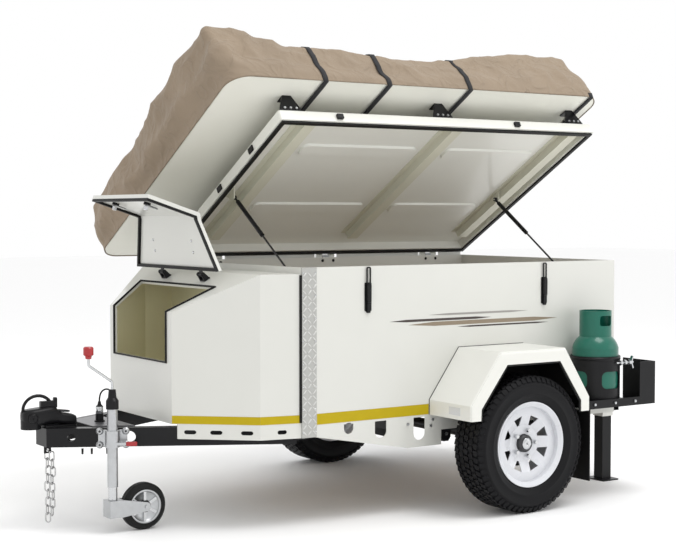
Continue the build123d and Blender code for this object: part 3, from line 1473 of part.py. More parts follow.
# Packed tent cover: a canvas shell lofted along the trailer, cinched in the middle by its straps
COVER_STATIONS = (
    (-775.0, 400.0, 100.0),
    (-700.0, 492.0, 40.0),
    (-540.0, 465.0, 20.0),
    (-300.0, 410.0, 10.0),
    (180.0, 392.0, 10.0),
    (640.0, 400.0, 10.0),
    (1000.0, 455.0, 10.0),
    (1300.0, 485.0, 20.0),
    (1425.0, 400.0, 60.0),
)
COVER_NEAR = 1435.0
COVER_FAR = -190.0
COVER_SLOPE = 90.0


def cover_block(inset):
    """Lofted tent cover, drawn in by an inset on all sides but the open underside."""
    with BuildPart() as block:
        for index, (station, top, tuck) in enumerate(COVER_STATIONS):
            end_shift = inset if index == 0 else -inset if index == len(COVER_STATIONS) - 1 else 0
            near = COVER_NEAR - tuck - inset
            far = COVER_FAR + tuck + inset
            crown = top - inset
            with BuildSketch(lid_section(station + end_shift)):
                with BuildLine():
                    Polyline(
                        (far, TENT_BASE_TOP),
                        (near, TENT_BASE_TOP),
                        (near, crown - 60),
                        (near - 60, crown),
                        (far + 130, crown - COVER_SLOPE),
                        (far + 30, crown - COVER_SLOPE - 50),
                        close=True,
                    )
                make_face()
        loft(ruled=True)
    return block.part


cover_outer = cover_block(0)
cover_inner = cover_block(COVER_SHELL)
with BuildPart() as tent_cover:
    add(cover_outer)
    add(cover_inner, mode=Mode.SUBTRACT)
save(tent_cover.part, "tent_cover")

# Gas struts: the tube hangs from the lid's lug, the rod ends beside the foot on the end wall
pin_y, pin_z = lid_point(STRUT_PIN_D, STRUT_PIN_H)
strut_vector = Vector(0, STRUT_FOOT[0] - pin_y, STRUT_FOOT[1] - pin_z)
strut_length = strut_vector.length
STRUT_EYE_R = 11.0
STRUT_EYE_HALF = 6.0
STRUT_BORE = 255.0
for end, (strut_x, inward) in STRUT_PLANES.items():
    strut_plane = Plane(origin=(strut_x, pin_y, pin_z), x_dir=(1, 0, 0), z_dir=strut_vector.normalized())
    eye_plane = Plane(origin=(strut_x, pin_y, pin_z), x_dir=(0, 1, 0), z_dir=(1, 0, 0))
    with BuildPart() as strut_tube:
        with BuildSketch(eye_plane):
            Circle(STRUT_EYE_R)
        extrude(amount=STRUT_EYE_HALF, both=True)
        with BuildSketch(strut_plane.offset(6)):
            Circle(6)
        extrude(amount=34)
        with BuildSketch(strut_plane.offset(36)):
            Circle(STRUT_TUBE_R)
        extrude(amount=STRUT_TUBE - 36)
        with BuildSketch(eye_plane):
            Circle(PIN_R + 0.05)
        extrude(amount=STRUT_EYE_HALF + 1, both=True, mode=Mode.SUBTRACT)
        with BuildSketch(strut_plane.offset(STRUT_TUBE - STRUT_BORE)):
            Circle(STRUT_ROD_R + 0.3)
        extrude(amount=STRUT_BORE, mode=Mode.SUBTRACT)
    save(strut_tube.part, f"strut_tube_{end}")

    with BuildPart() as strut_rod:
        with BuildSketch(strut_plane.offset(STRUT_TUBE - STRUT_OVERLAP)):
            Circle(STRUT_ROD_R)
        extrude(amount=strut_length - STRUT_TUBE + STRUT_OVERLAP)
        with BuildSketch(eye_plane):
            with Locations((strut_vector.Y, strut_vector.Z)):
                Circle(STRUT_EYE_R)
        extrude(amount=STRUT_EYE_HALF, both=True)
    save(strut_rod.part, f"strut_rod_{end}")

closed_pin = Vector(0, HINGE_Y - STRUT_PIN_D, HINGE_Z + STRUT_PIN_H)
closed_vector = Vector(0, STRUT_FOOT[0], STRUT_FOOT[1]) - closed_pin
open_angle = math.degrees(math.atan2(-strut_vector.Z, -strut_vector.Y))
closed_angle = math.degrees(math.atan2(-closed_vector.Z, -closed_vector.Y))
print("strut pin", round(pin_y, 3), round(pin_z, 3), "open length", round(strut_length, 3))
print("strut turn against the lid", round(closed_angle - open_angle - LID_OPEN, 4))
print("strut travel", round(strut_length - closed_vector.length, 3))
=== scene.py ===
"""Looks of a small off-road box trailer with a packed roof tent on its open lid.

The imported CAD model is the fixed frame. This script gives every node its finish and adds what is soft, thin
or repeated: the canvas cover and its straps, tyre tread, wheel nuts, chequer lozenges, tape, stripes, trim,
fasteners and the plug's lead. Sizes are in metres. +X points to the rear and +Y to the right.
"""

import logging
import math
from collections.abc import Callable, Iterable, Sequence
from dataclasses import dataclass, replace
from enum import Enum

import bmesh
import bpy
from mathutils import Euler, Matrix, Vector, noise


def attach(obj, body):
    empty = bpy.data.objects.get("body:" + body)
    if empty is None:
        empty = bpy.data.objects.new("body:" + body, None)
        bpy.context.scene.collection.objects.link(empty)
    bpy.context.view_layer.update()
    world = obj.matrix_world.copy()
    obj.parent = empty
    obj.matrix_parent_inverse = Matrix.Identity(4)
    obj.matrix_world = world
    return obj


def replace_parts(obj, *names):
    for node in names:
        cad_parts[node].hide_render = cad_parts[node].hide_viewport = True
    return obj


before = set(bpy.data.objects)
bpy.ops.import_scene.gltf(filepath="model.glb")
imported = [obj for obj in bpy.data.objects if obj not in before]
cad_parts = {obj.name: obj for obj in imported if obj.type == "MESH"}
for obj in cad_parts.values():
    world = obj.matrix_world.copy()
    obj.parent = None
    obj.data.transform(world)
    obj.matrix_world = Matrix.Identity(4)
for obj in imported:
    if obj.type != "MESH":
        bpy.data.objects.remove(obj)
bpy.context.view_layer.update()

Point = tuple[float, float, float]
Pair = tuple[float, float]
Skin = tuple[list[Point], list[list[int]]]
log = logging.getLogger("trailer")

SIDES = {"left": -1, "right": 1}
FACES = {"near": -1, "far": 1}
AXLE_X = 0.615
WHEEL_R = 0.334
HALF_TRACK = 0.868
BODY_HALF = 0.650
GUARD_FACE = 0.6532
HINGE_Y = 0.662
HINGE_Z = 1.212
LID_TILT = math.radians(30.4)
LID_HINGES = (-0.25, 0.48, 1.21)
NOSE_FRONT = -1.005
NOSE_ROOF = 1.175
BROW_Z = 1.000
BROW_RISE = 0.5645
BROW_SLOPE = math.atan(BROW_RISE)
DOOR_PIVOT = (-0.782, 1.165)
DOOR_SWING = math.radians(108)
ARM_ANGLE = math.atan2(0.535, 1.0)
ARM_RUN = Vector((math.cos(ARM_ANGLE), -math.sin(ARM_ANGLE), 0))
ARM_INWARD = Vector((math.sin(ARM_ANGLE), math.cos(ARM_ANGLE), 0))
FILM = 0.0004
COAT_ROUGHNESS = 0.08
SHEEN_ROUGHNESS = 0.5
GRAIN_DEPTH = 0.001
CREASE_DEPTH = 0.007


class Grain(Enum):
    """Small-scale surface of a finish."""

    SMOOTH = "smooth"
    PEBBLE = "pebble"
    WEAVE = "weave"
    SPANGLE = "spangle"
    HONEYCOMB = "honeycomb"
    WOOD = "wood"


class Shape(Enum):
    """Solid that a scatter repeats."""

    BLOCK = "block"
    HEX = "hex"
    DOME = "dome"
    LOZENGE = "lozenge"
    LINK = "link"


def add_node(tree: bpy.types.NodeTree, kind: str, values: dict | None = None,
             **settings: str) -> bpy.types.Node:
    """Add a node to a tree.

    Args:
        tree: Tree that gets the node.
        kind: Type of the node.
        values: Value of each input that isn't linked, by its name or number.
        settings: Options of the node itself.

    Returns:
        The new node.
    """
    node = tree.nodes.new(kind)
    for label, value in settings.items():
        setattr(node, label, value)
    for label, value in (values or {}).items():
        node.inputs[label].default_value = value
    return node


def painted(name: str, surface: Callable[[bpy.types.NodeTree], bpy.types.NodeSocket]) -> bpy.types.Material:
    """Return the material of a name, made on first use.

    Args:
        name: Name of the material.
        surface: Builds the shader in the material's tree and returns its output.

    Returns:
        The material.
    """
    found = bpy.data.materials.get(name)
    if found:
        return found
    made = bpy.data.materials.new(name)
    made.use_nodes = True
    tree = made.node_tree
    tree.nodes.remove(tree.nodes["Principled BSDF"])
    tree.links.new(surface(tree), tree.nodes["Material Output"].inputs["Surface"])
    return made


@dataclass(frozen=True)
class Finish:
    """Procedural finish of one kind of surface.

    Args:
        name: Name of the Blender material.
        colour: Linear base colour.
        roughness: Mean roughness.
        metallic: 1 for bare metal.
        variation: Share by which the colour drifts over the surface.
        patch: Patches of that drift per metre.
        grain: Kind of small relief.
        grain_scale: Relief cells per metre.
        relief: Strength of the relief.
        coat: Clear coat on paint.
        sheen: Soft edge glow of cloth.
        crease: Strength of rumples in cloth.
        specular: Level of the plain reflection.
    """

    name: str
    colour: Point
    roughness: float = 0.4
    metallic: float = 0.0
    variation: float = 0.05
    patch: float = 6.0
    grain: Grain = Grain.PEBBLE
    grain_scale: float = 350.0
    relief: float = 0.05
    coat: float = 0.0
    sheen: float = 0.0
    crease: float = 0.0
    specular: float = 0.5

    def material(self) -> bpy.types.Material:
        """Return this finish's material."""
        return painted(self.name, self.surface)

    def surface(self, tree: bpy.types.NodeTree) -> bpy.types.NodeSocket:
        """Build this finish's shader.

        Args:
            tree: Tree that gets the shader.

        Returns:
            The shader's output.
        """
        place = tree.nodes.new("ShaderNodeTexCoord").outputs["Object"]
        shader = add_node(tree, "ShaderNodeBsdfPrincipled", {
            "Metallic": self.metallic, "Specular IOR Level": self.specular, "Coat Weight": self.coat,
            "Coat Roughness": COAT_ROUGHNESS, "Sheen Weight": self.sheen, "Sheen Roughness": SHEEN_ROUGHNESS,
        })
        self._drift(tree, shader, place)
        if self.grain is not Grain.SMOOTH:
            self._raise(tree, shader, place)
        return shader.outputs["BSDF"]

    def _drift(self, tree: bpy.types.NodeTree, shader: bpy.types.Node, place: bpy.types.NodeSocket) -> None:
        """Let the colour and the roughness drift slowly over the surface.

        Args:
            tree: Tree of the shader.
            shader: Shader that gets them.
            place: Object coordinates.
        """
        drift = add_node(tree, "ShaderNodeTexNoise", {"Scale": self.patch, "Detail": 5.0})
        tree.links.new(place, drift.inputs["Vector"])
        mix = add_node(tree, "ShaderNodeMix", {
            "A": (*[c * (1 - self.variation) for c in self.colour], 1),
            "B": (*[min(1, c * (1 + self.variation)) for c in self.colour], 1),
        }, data_type="RGBA")
        tree.links.new(drift.outputs["Fac"], mix.inputs["Factor"])
        tree.links.new(mix.outputs["Result"], shader.inputs["Base Color"])
        spread = min(0.07, self.variation)
        rough = add_node(tree, "ShaderNodeMapRange", {
            "To Min": max(0.03, self.roughness - spread), "To Max": min(1.0, self.roughness + spread),
        })
        tree.links.new(drift.outputs["Fac"], rough.inputs["Value"])
        tree.links.new(rough.outputs["Result"], shader.inputs["Roughness"])

    def _raise(self, tree: bpy.types.NodeTree, shader: bpy.types.Node, place: bpy.types.NodeSocket) -> None:
        """Raise the grain, and a cloth's creases under it, as bump.

        Args:
            tree: Tree of the shader.
            shader: Shader that gets the bump.
            place: Object coordinates.
        """
        kind, values, output, settings = self._grain_texture()
        cells = add_node(tree, kind, {"Scale": self.grain_scale, **values}, **settings)
        tree.links.new(place, cells.inputs["Vector"])
        bump = add_node(tree, "ShaderNodeBump", {"Strength": self.relief, "Distance": GRAIN_DEPTH})
        tree.links.new(cells.outputs[output], bump.inputs["Height"])
        if self.crease:
            shape = {"Scale": 11.0, "Detail": 3.0, "Offset": 1.0, "Distortion": 0.8}
            folds = add_node(tree, "ShaderNodeTexNoise", shape, noise_type="RIDGED_MULTIFRACTAL")
            tree.links.new(place, folds.inputs["Vector"])
            rumple = add_node(tree, "ShaderNodeBump", {"Strength": self.crease, "Distance": CREASE_DEPTH})
            tree.links.new(folds.outputs["Fac"], rumple.inputs["Height"])
            tree.links.new(rumple.outputs["Normal"], bump.inputs["Normal"])
        tree.links.new(bump.outputs["Normal"], shader.inputs["Normal"])

    def _grain_texture(self) -> tuple[str, dict[str, float], str, dict[str, str]]:
        """Choose the texture that makes the grain.

        Returns:
            The type of its node, its inputs, the output to read and its options.
        """
        if self.grain is Grain.SPANGLE:
            return "ShaderNodeTexVoronoi", {}, "Distance", {"feature": "F1"}
        if self.grain is Grain.HONEYCOMB:
            return "ShaderNodeTexVoronoi", {}, "Distance", {"feature": "DISTANCE_TO_EDGE"}
        if self.grain is Grain.PEBBLE:
            return "ShaderNodeTexNoise", {"Detail": 4.0}, "Fac", {}
        distortion = 1.5 if self.grain is Grain.WEAVE else 6.0
        return "ShaderNodeTexWave", {"Distortion": distortion, "Detail": 3.0}, "Fac", {}


@dataclass(frozen=True)
class TwoTone:
    """One finish below a level and another above it.

    Args:
        name: Name of the Blender material.
        below: Finish under the level.
        above: Finish over the level.
        level: Height of the change above the ground.
    """

    name: str
    below: Finish
    above: Finish
    level: float

    def material(self) -> bpy.types.Material:
        """Return the two-tone material."""
        return painted(self.name, self.surface)

    def surface(self, tree: bpy.types.NodeTree) -> bpy.types.NodeSocket:
        """Build both shaders and the change between them.

        Args:
            tree: Tree that gets the shaders.

        Returns:
            The mixed shader's output.
        """
        split = tree.nodes.new("ShaderNodeSeparateXYZ")
        tree.links.new(tree.nodes.new("ShaderNodeTexCoord").outputs["Object"], split.inputs["Vector"])
        over = add_node(tree, "ShaderNodeMath", {1: self.level}, operation="GREATER_THAN")
        tree.links.new(split.outputs["Z"], over.inputs[0])
        mix = tree.nodes.new("ShaderNodeMixShader")
        tree.links.new(over.outputs["Value"], mix.inputs["Fac"])
        tree.links.new(self.below.surface(tree), mix.inputs[1])
        tree.links.new(self.above.surface(tree), mix.inputs[2])
        return mix.outputs["Shader"]


CREAM = Finish("cream_paint", (0.645, 0.645, 0.605), 0.3, variation=0.015, coat=0.3, relief=0.02)
# Painted light: the fenders get a lighter copy of the body's cream paint, for the light on their tops.
FENDER_CREAM_LIT = replace(CREAM, name="fender_cream_painted_light", colour=(0.735, 0.735, 0.69))
LID_CREAM = Finish("lid_cream_paint", (0.765, 0.765, 0.71), 0.36, variation=0.02, coat=0.3, relief=0.04)
# Painted shade: the lid's ribs get a darker, yellower copy of the lid's cream, for the shade on their side
# walls.
RIB_CREAM_SHADED = Finish("rib_cream_painted_shade", (0.63, 0.62, 0.51), 0.42, variation=0.03)
# Partly painted light: the tent base's own cream, made lighter to offset the shade under it.
BOARD_CREAM_LIT = Finish("tent_board_skin_painted_light", (0.79, 0.785, 0.71), 0.45, variation=0.03, relief=0.1)
# Partly painted light: the liner's own beige, made much lighter to stand in for light inside the dim locker.
LINER_LIT = Finish("locker_liner", (0.86, 0.82, 0.60), 0.6, relief=0.15)
BLACK_PAINT = Finish("black_powder_coat", (0.005, 0.005, 0.006), 0.34, variation=0.2, relief=0.12,
                     specular=0.25)
BLACK_PLASTIC = replace(BLACK_PAINT, name="black_moulding", roughness=0.32, relief=0.1)
RUBBER = Finish("black_rubber", (0.006, 0.006, 0.006), 0.55, variation=0.25, relief=0.15, specular=0.25)
TYRE_RUBBER = Finish("tyre_rubber", (0.006, 0.006, 0.007), 0.5, variation=0.3, grain_scale=160.0, relief=0.25,
                     specular=0.16)
ZINC = Finish("zinc_plate", (0.50, 0.51, 0.52), 0.34, metallic=1.0, variation=0.14, patch=30.0,
              grain=Grain.SPANGLE, grain_scale=90.0, relief=0.15)
DULL_ZINC = Finish("dull_zinc_sheet", (0.17, 0.17, 0.18), 0.4, metallic=0.8, variation=0.25, patch=40.0,
                   grain=Grain.SPANGLE, grain_scale=60.0, relief=0.4)
STEEL = Finish("bright_steel", (0.58, 0.59, 0.60), 0.22, metallic=1.0, variation=0.08, patch=30.0)
ROD_DARK = Finish("strut_rod_dark", (0.035, 0.035, 0.038), 0.25, metallic=0.6, variation=0.1, patch=30.0,
                  relief=0.03)
CHAIN_STEEL = Finish("chain_steel", (0.50, 0.50, 0.50), 0.25, metallic=1.0, variation=0.15, patch=40.0,
                     relief=0.1)
PLATE = Finish("chequer_plate", (0.44, 0.44, 0.42), 0.38, metallic=0.5, variation=0.06, patch=20.0,
               relief=0.06)
LOZENGE = Finish("chequer_lozenge", (0.60, 0.60, 0.58), 0.3, metallic=0.3, variation=0.04, patch=20.0,
                 relief=0.04)
# Partly painted shade: the rims' white paint, greyed to stand in for their shading.
WHEEL_WHITE_SHADED = Finish("wheel_paint_painted_shade", (0.66, 0.67, 0.70), 0.28, variation=0.04, coat=0.4)
HUB_DARK = Finish("hub_casting", (0.06, 0.06, 0.062), 0.5, metallic=0.6, variation=0.2, patch=40.0,
                  relief=0.2)
RED = Finish("red_grip", (0.36, 0.010, 0.014), 0.32, variation=0.1, coat=0.3)
JACK_HEAD = TwoTone("jack_cap_and_crank", BLACK_PLASTIC, STEEL, 0.6555)
REFLECTOR = Finish("pale_reflector", (0.62, 0.63, 0.64), 0.2, patch=20.0, grain=Grain.HONEYCOMB,
                   grain_scale=220.0, relief=0.3, coat=0.6)
LAMP = Finish("lamp_lens", (0.42, 0.010, 0.012), 0.15, variation=0.1, grain=Grain.HONEYCOMB, relief=0.3,
              coat=0.8)
BOTTLE_GREEN = Finish("bottle_green", (0.006, 0.118, 0.080), 0.3, variation=0.08, coat=0.3, relief=0.06,
                      specular=0.3)
FLOOR_PLY = Finish("floor_ply", (0.42, 0.31, 0.19), 0.65, variation=0.12, patch=3.0, grain=Grain.WOOD,
                   grain_scale=18.0, relief=0.2)
CANVAS = Finish("tent_canvas", (0.275, 0.215, 0.155), 0.85, variation=0.13, patch=5.0, grain=Grain.WEAVE,
                grain_scale=260.0, relief=0.25, sheen=0.1, crease=0.6, specular=0.25)
WEBBING = Finish("strap_webbing", (0.016, 0.016, 0.018), 0.8, variation=0.2, patch=20.0, grain=Grain.WEAVE,
                 grain_scale=400.0, relief=0.4)
TAPE = Finish("reflective_tape", (0.46, 0.345, 0.006), 0.55, variation=0.06, patch=20.0,
              grain=Grain.HONEYCOMB, grain_scale=160.0, relief=0.35, specular=0.2)
STRIPE_TAUPE = Finish("stripe_taupe", (0.24, 0.19, 0.13), 0.35)
STRIPE_GREY = Finish("stripe_grey", (0.30, 0.29, 0.27), 0.35)
STRIPE_BROWN = Finish("stripe_brown", (0.045, 0.032, 0.028), 0.35)
STUDIO_FLOOR = Finish("studio_floor", (0.965, 0.965, 0.965), 0.8, variation=0.01, grain=Grain.SMOOTH)

NODES_OF_FINISH: tuple[tuple[Finish | TwoTone, str], ...] = (
    (BLACK_PAINT, "drawbar_left drawbar_right frame_members coupling axle_beam leaf_springs shelf_left"),
    (BLACK_PAINT, "shelf_right tent_brackets strut_tube_front strut_tube_rear rear_leg_left rear_leg_right"),
    (BLACK_PLASTIC, "coupling_handle trailer_plug nose_hinges side_latches nose_door_fittings"),
    (RUBBER, "nose_seal mudflaps lid_seal nose_door_seal jockey_wheel plug_lead"),
    (CREAM, "rail_left rail_right nose_shell body_side_left body_side_right body_front body_rear"),
    (CREAM, "leg_sleeves nose_door"),
    # The fenders take the lighter copy of the cream: painted light.
    (FENDER_CREAM_LIT, "fender_left fender_right"),
    (LID_CREAM, "lid_pan"),
    # The ribs take the darker copy of the cream: painted shade.
    (RIB_CREAM_SHADED, "lid_ribs"),
    (BOARD_CREAM_LIT, "tent_base"),
    (CANVAS, "tent_cover"),
    (ZINC, "safety_chain jockey_tube lid_hinges jockey_fork"),
    (DULL_ZINC, "drawbar_plate"),
    (STEEL, "jockey_leg"),
    (ROD_DARK, "strut_rod_front strut_rod_rear"),
    (JACK_HEAD, "jockey_head"),
    (RED, "jockey_grips"),
    (PLATE, "corner_guards"),
    (FLOOR_PLY, "body_floor"),
    (LAMP, "tail_lamps"),
    (BOTTLE_GREEN, "gas_bottle"),
    (TYRE_RUBBER, "tyre_left tyre_right"),
    (WHEEL_WHITE_SHADED, "rim_left rim_right"),
    (HUB_DARK, "hub_left hub_right"),
)


def on_lid(x: float, distance: float, height: float) -> Vector:
    """Place a point of the open lid in the trailer's frame.

    Args:
        x: Place along the trailer.
        distance: Distance from the hinge line.
        height: Height above the seal.

    Returns:
        The point.
    """
    rise, run = math.sin(LID_TILT), math.cos(LID_TILT)
    return Vector((x, HINGE_Y - distance * run + height * rise, HINGE_Z + distance * rise + height * run))


def swung(dx: float, dz: float) -> Pair:
    """Turn a step on the shut nose door to the open door's, in X and Z."""
    rise, run = math.sin(DOOR_SWING), math.cos(DOOR_SWING)
    return dx * run + dz * rise, dz * run - dx * rise


def on_open_door(x: float, y: float, z: float) -> Point:
    """Return where a point of the shut nose door lies on the open one."""
    dx, dz = swung(x - DOOR_PIVOT[0], z - DOOR_PIVOT[1])
    return dx + DOOR_PIVOT[0], y, dz + DOOR_PIVOT[1]


def round_axle(centre: Point, radius: float, reach: float, turn: float) -> Point:
    """Return a point round a level axle, from its radius, its reach along the axle and its turn."""
    return centre[0] + radius * math.sin(turn), centre[1] + reach, centre[2] + radius * math.cos(turn)


def smooth_step(value: float, low: float, high: float) -> float:
    """Return 0 below low, 1 above high and an eased value between."""
    share = max(0.0, min(1.0, (value - low) / (high - low)))
    return share * share * (3 - 2 * share)


def along_profile(profile: Sequence[Pair], at: float) -> float:
    """Read a profile's eased height at a position.

    Args:
        profile: Position and height pairs, in order.
        at: Position to read.

    Returns:
        The height there, level beyond both ends.
    """
    if at <= profile[0][0]:
        return profile[0][1]
    for (start, low), (end, high) in zip(profile, profile[1:]):
        if at <= end:
            return low + (high - low) * smooth_step(at, start, end)
    return profile[-1][1]


def skin(rows: Sequence[Sequence[Point]], ring: bool = False, loop: bool = False) -> Skin:
    """Stretch a skin of quads between rows of points.

    Args:
        rows: Rows of equally many points.
        ring: Whether each row closes on itself.
        loop: Whether the last row joins the first.

    Returns:
        The skin's points and faces.
    """
    count = len(rows[0])
    faces = []
    for row in range(len(rows) if loop else len(rows) - 1):
        near, far = row * count, (row + 1) % len(rows) * count
        for i in range(count if ring else count - 1):
            j = (i + 1) % count
            faces.append([near + i, near + j, far + j, far + i])
    return [point for row in rows for point in row], faces


def merged(skins: Iterable[Skin]) -> Skin:
    """Join several skins into one.

    Args:
        skins: Skins to join.

    Returns:
        All their points and faces.
    """
    points, faces = [], []
    for more_points, more_faces in skins:
        first = len(points)
        points += more_points
        faces += [[first + i for i in face] for face in more_faces]
    return points, faces


def box(centre: Point, size: Point) -> Skin:
    """Make an upright box.

    Args:
        centre: Its middle.
        size: Its length, width and height.

    Returns:
        The box's points and faces.
    """
    corners = [(x, y, z) for x in (-0.5, 0.5) for y in (-0.5, 0.5) for z in (-0.5, 0.5)]
    points = [tuple(c + share * s for c, share, s in zip(centre, corner, size)) for corner in corners]
    return points, [[0, 1, 3, 2], [4, 6, 7, 5], [0, 4, 5, 1], [2, 3, 7, 6], [0, 2, 6, 4], [1, 5, 7, 3]]


def add_object(name: str, data: bpy.types.ID) -> bpy.types.Object:
    """Link a new object to the scene, at the origin.

    Args:
        name: Name of the object.
        data: Its mesh, curve, camera or light.

    Returns:
        The object.
    """
    made = bpy.data.objects.new(name, data)
    bpy.context.scene.collection.objects.link(made)
    return made


def as_mesh(source: bpy.types.Object) -> bpy.types.Mesh:
    """Turn an object into a plain mesh and remove it.

    Args:
        source: Object with its curve bevel or modifiers live.

    Returns:
        Its evaluated shape.
    """
    bpy.context.view_layer.update()
    mesh = bpy.data.meshes.new_from_object(source.evaluated_get(bpy.context.evaluated_depsgraph_get()))
    source.modifiers.clear()
    bpy.data.objects.remove(source)
    return mesh


def mesh_piece(name: str, shape: Skin, finish: Finish, smooth: bool = False) -> bpy.types.Object:
    """Make a mesh object with outward normals and one finish.

    Args:
        name: Name of the piece.
        shape: Its points and faces.
        finish: Finish of the whole piece.
        smooth: Whether faces are shaded smooth.

    Returns:
        The linked object, at the origin.
    """
    points, faces = shape
    mesh = bpy.data.meshes.new(name)
    mesh.from_pydata([tuple(p) for p in points], [], faces)
    work = bmesh.new()
    work.from_mesh(mesh)
    bmesh.ops.remove_doubles(work, verts=work.verts, dist=1e-6)
    bmesh.ops.recalc_face_normals(work, faces=work.faces)
    for face in work.faces:
        face.smooth = smooth
    work.to_mesh(mesh)
    work.free()
    mesh.materials.append(finish.material())
    return add_object(name, mesh)


def settle(piece: bpy.types.Object, body: str) -> bpy.types.Object:
    """Ride a piece on a body and report it.

    Args:
        piece: Finished piece.
        body: Body that carries it.

    Returns:
        The same piece.
    """
    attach(piece, body)
    log.info("%s on %s", piece.name, body)
    return piece


def thicken(piece: bpy.types.Object, thickness: float) -> bpy.types.Object:
    """Give a sheet its thickness, half to each side.

    Args:
        piece: Sheet with no thickness.
        thickness: Thickness of the real sheet.

    Returns:
        The same piece.
    """
    wall = piece.modifiers.new("thickness", "SOLIDIFY")
    wall.thickness = thickness
    wall.offset = 0.0
    return piece


def soften(piece: bpy.types.Object, width: float, segments: int) -> bpy.types.Object:
    """Round a piece's edges.

    Args:
        piece: Piece with sharp edges.
        width: Width of the rounding.
        segments: Facets across it.

    Returns:
        The same piece.
    """
    bevel = piece.modifiers.new("bevel", "BEVEL")
    bevel.width = width
    bevel.segments = segments
    return piece


def lathe(name: str, profile: Sequence[Pair], centre: Point, finish: Finish, upright: bool = False,
          steps: int = 96) -> bpy.types.Object:
    """Turn a closed profile about an axis.

    Args:
        name: Name of the piece.
        profile: Radius and position along the axis, as a closed loop.
        centre: A point of the axis.
        finish: Finish of the piece.
        upright: Whether the axis is upright, not level across the trailer.
        steps: Facets round the axis.

    Returns:
        The smooth-shaded piece.
    """
    rows = []
    for step in range(steps):
        turn = 2 * math.pi * step / steps
        if upright:
            rows.append([(centre[0] + r * math.cos(turn), centre[1] + r * math.sin(turn), centre[2] + reach)
                         for r, reach in profile])
        else:
            rows.append([round_axle(centre, r, reach, turn) for r, reach in profile])
    return mesh_piece(name, skin(rows, ring=True, loop=True), finish, smooth=True)


def wire(name: str, route: Sequence[Point], radius: float, kind: str = "POLY") -> bpy.types.Object:
    """Make a round curve along a route.

    Args:
        name: Name of the object.
        route: Points of the route.
        radius: Radius of its section.
        kind: Type of its spline.

    Returns:
        The curve object, whose one spline holds the route.
    """
    curve = bpy.data.curves.new(name, "CURVE")
    curve.dimensions = "3D"
    curve.bevel_depth = radius
    curve.use_fill_caps = True
    spline = curve.splines.new(kind)
    spline.points.add(len(route) - 1)
    for point, corner in zip(spline.points, route):
        point.co = (*corner, 1)
    return add_object(name, curve)


def tube(name: str, route: Sequence[Point], radius: float, finish: Finish,
         closed: bool = False) -> bpy.types.Object:
    """Make a round bead along straight runs.

    Args:
        name: Name of the piece.
        route: Corners of the bead's centreline.
        radius: Radius of the bead.
        finish: Finish of the bead.
        closed: Whether the last corner joins the first.

    Returns:
        The bead as a mesh piece.
    """
    source = wire(name + "_path", route, radius)
    source.data.bevel_resolution = 2
    source.data.splines[0].use_cyclic_u = closed
    mesh = as_mesh(source)
    mesh.materials.clear()
    mesh.materials.append(finish.material())
    for face in mesh.polygons:
        face.use_smooth = True
    return add_object(name, mesh)


@dataclass(frozen=True)
class Placed:
    """Place and turn of one repeated solid."""

    at: Point
    turn: Point = (0.0, 0.0, 0.0)


def facing(at: Point, normal: Point, spin: float = 0.0) -> Placed:
    """Place a solid with its upright axis along a normal.

    Args:
        at: Its middle.
        normal: Direction of its upright axis.
        spin: Turn about that axis.

    Returns:
        The place.
    """
    lean = Vector((0, 0, 1)).rotation_difference(Vector(normal))
    return Placed(tuple(at), tuple((lean.to_matrix() @ Euler((0, 0, spin)).to_matrix()).to_euler()))


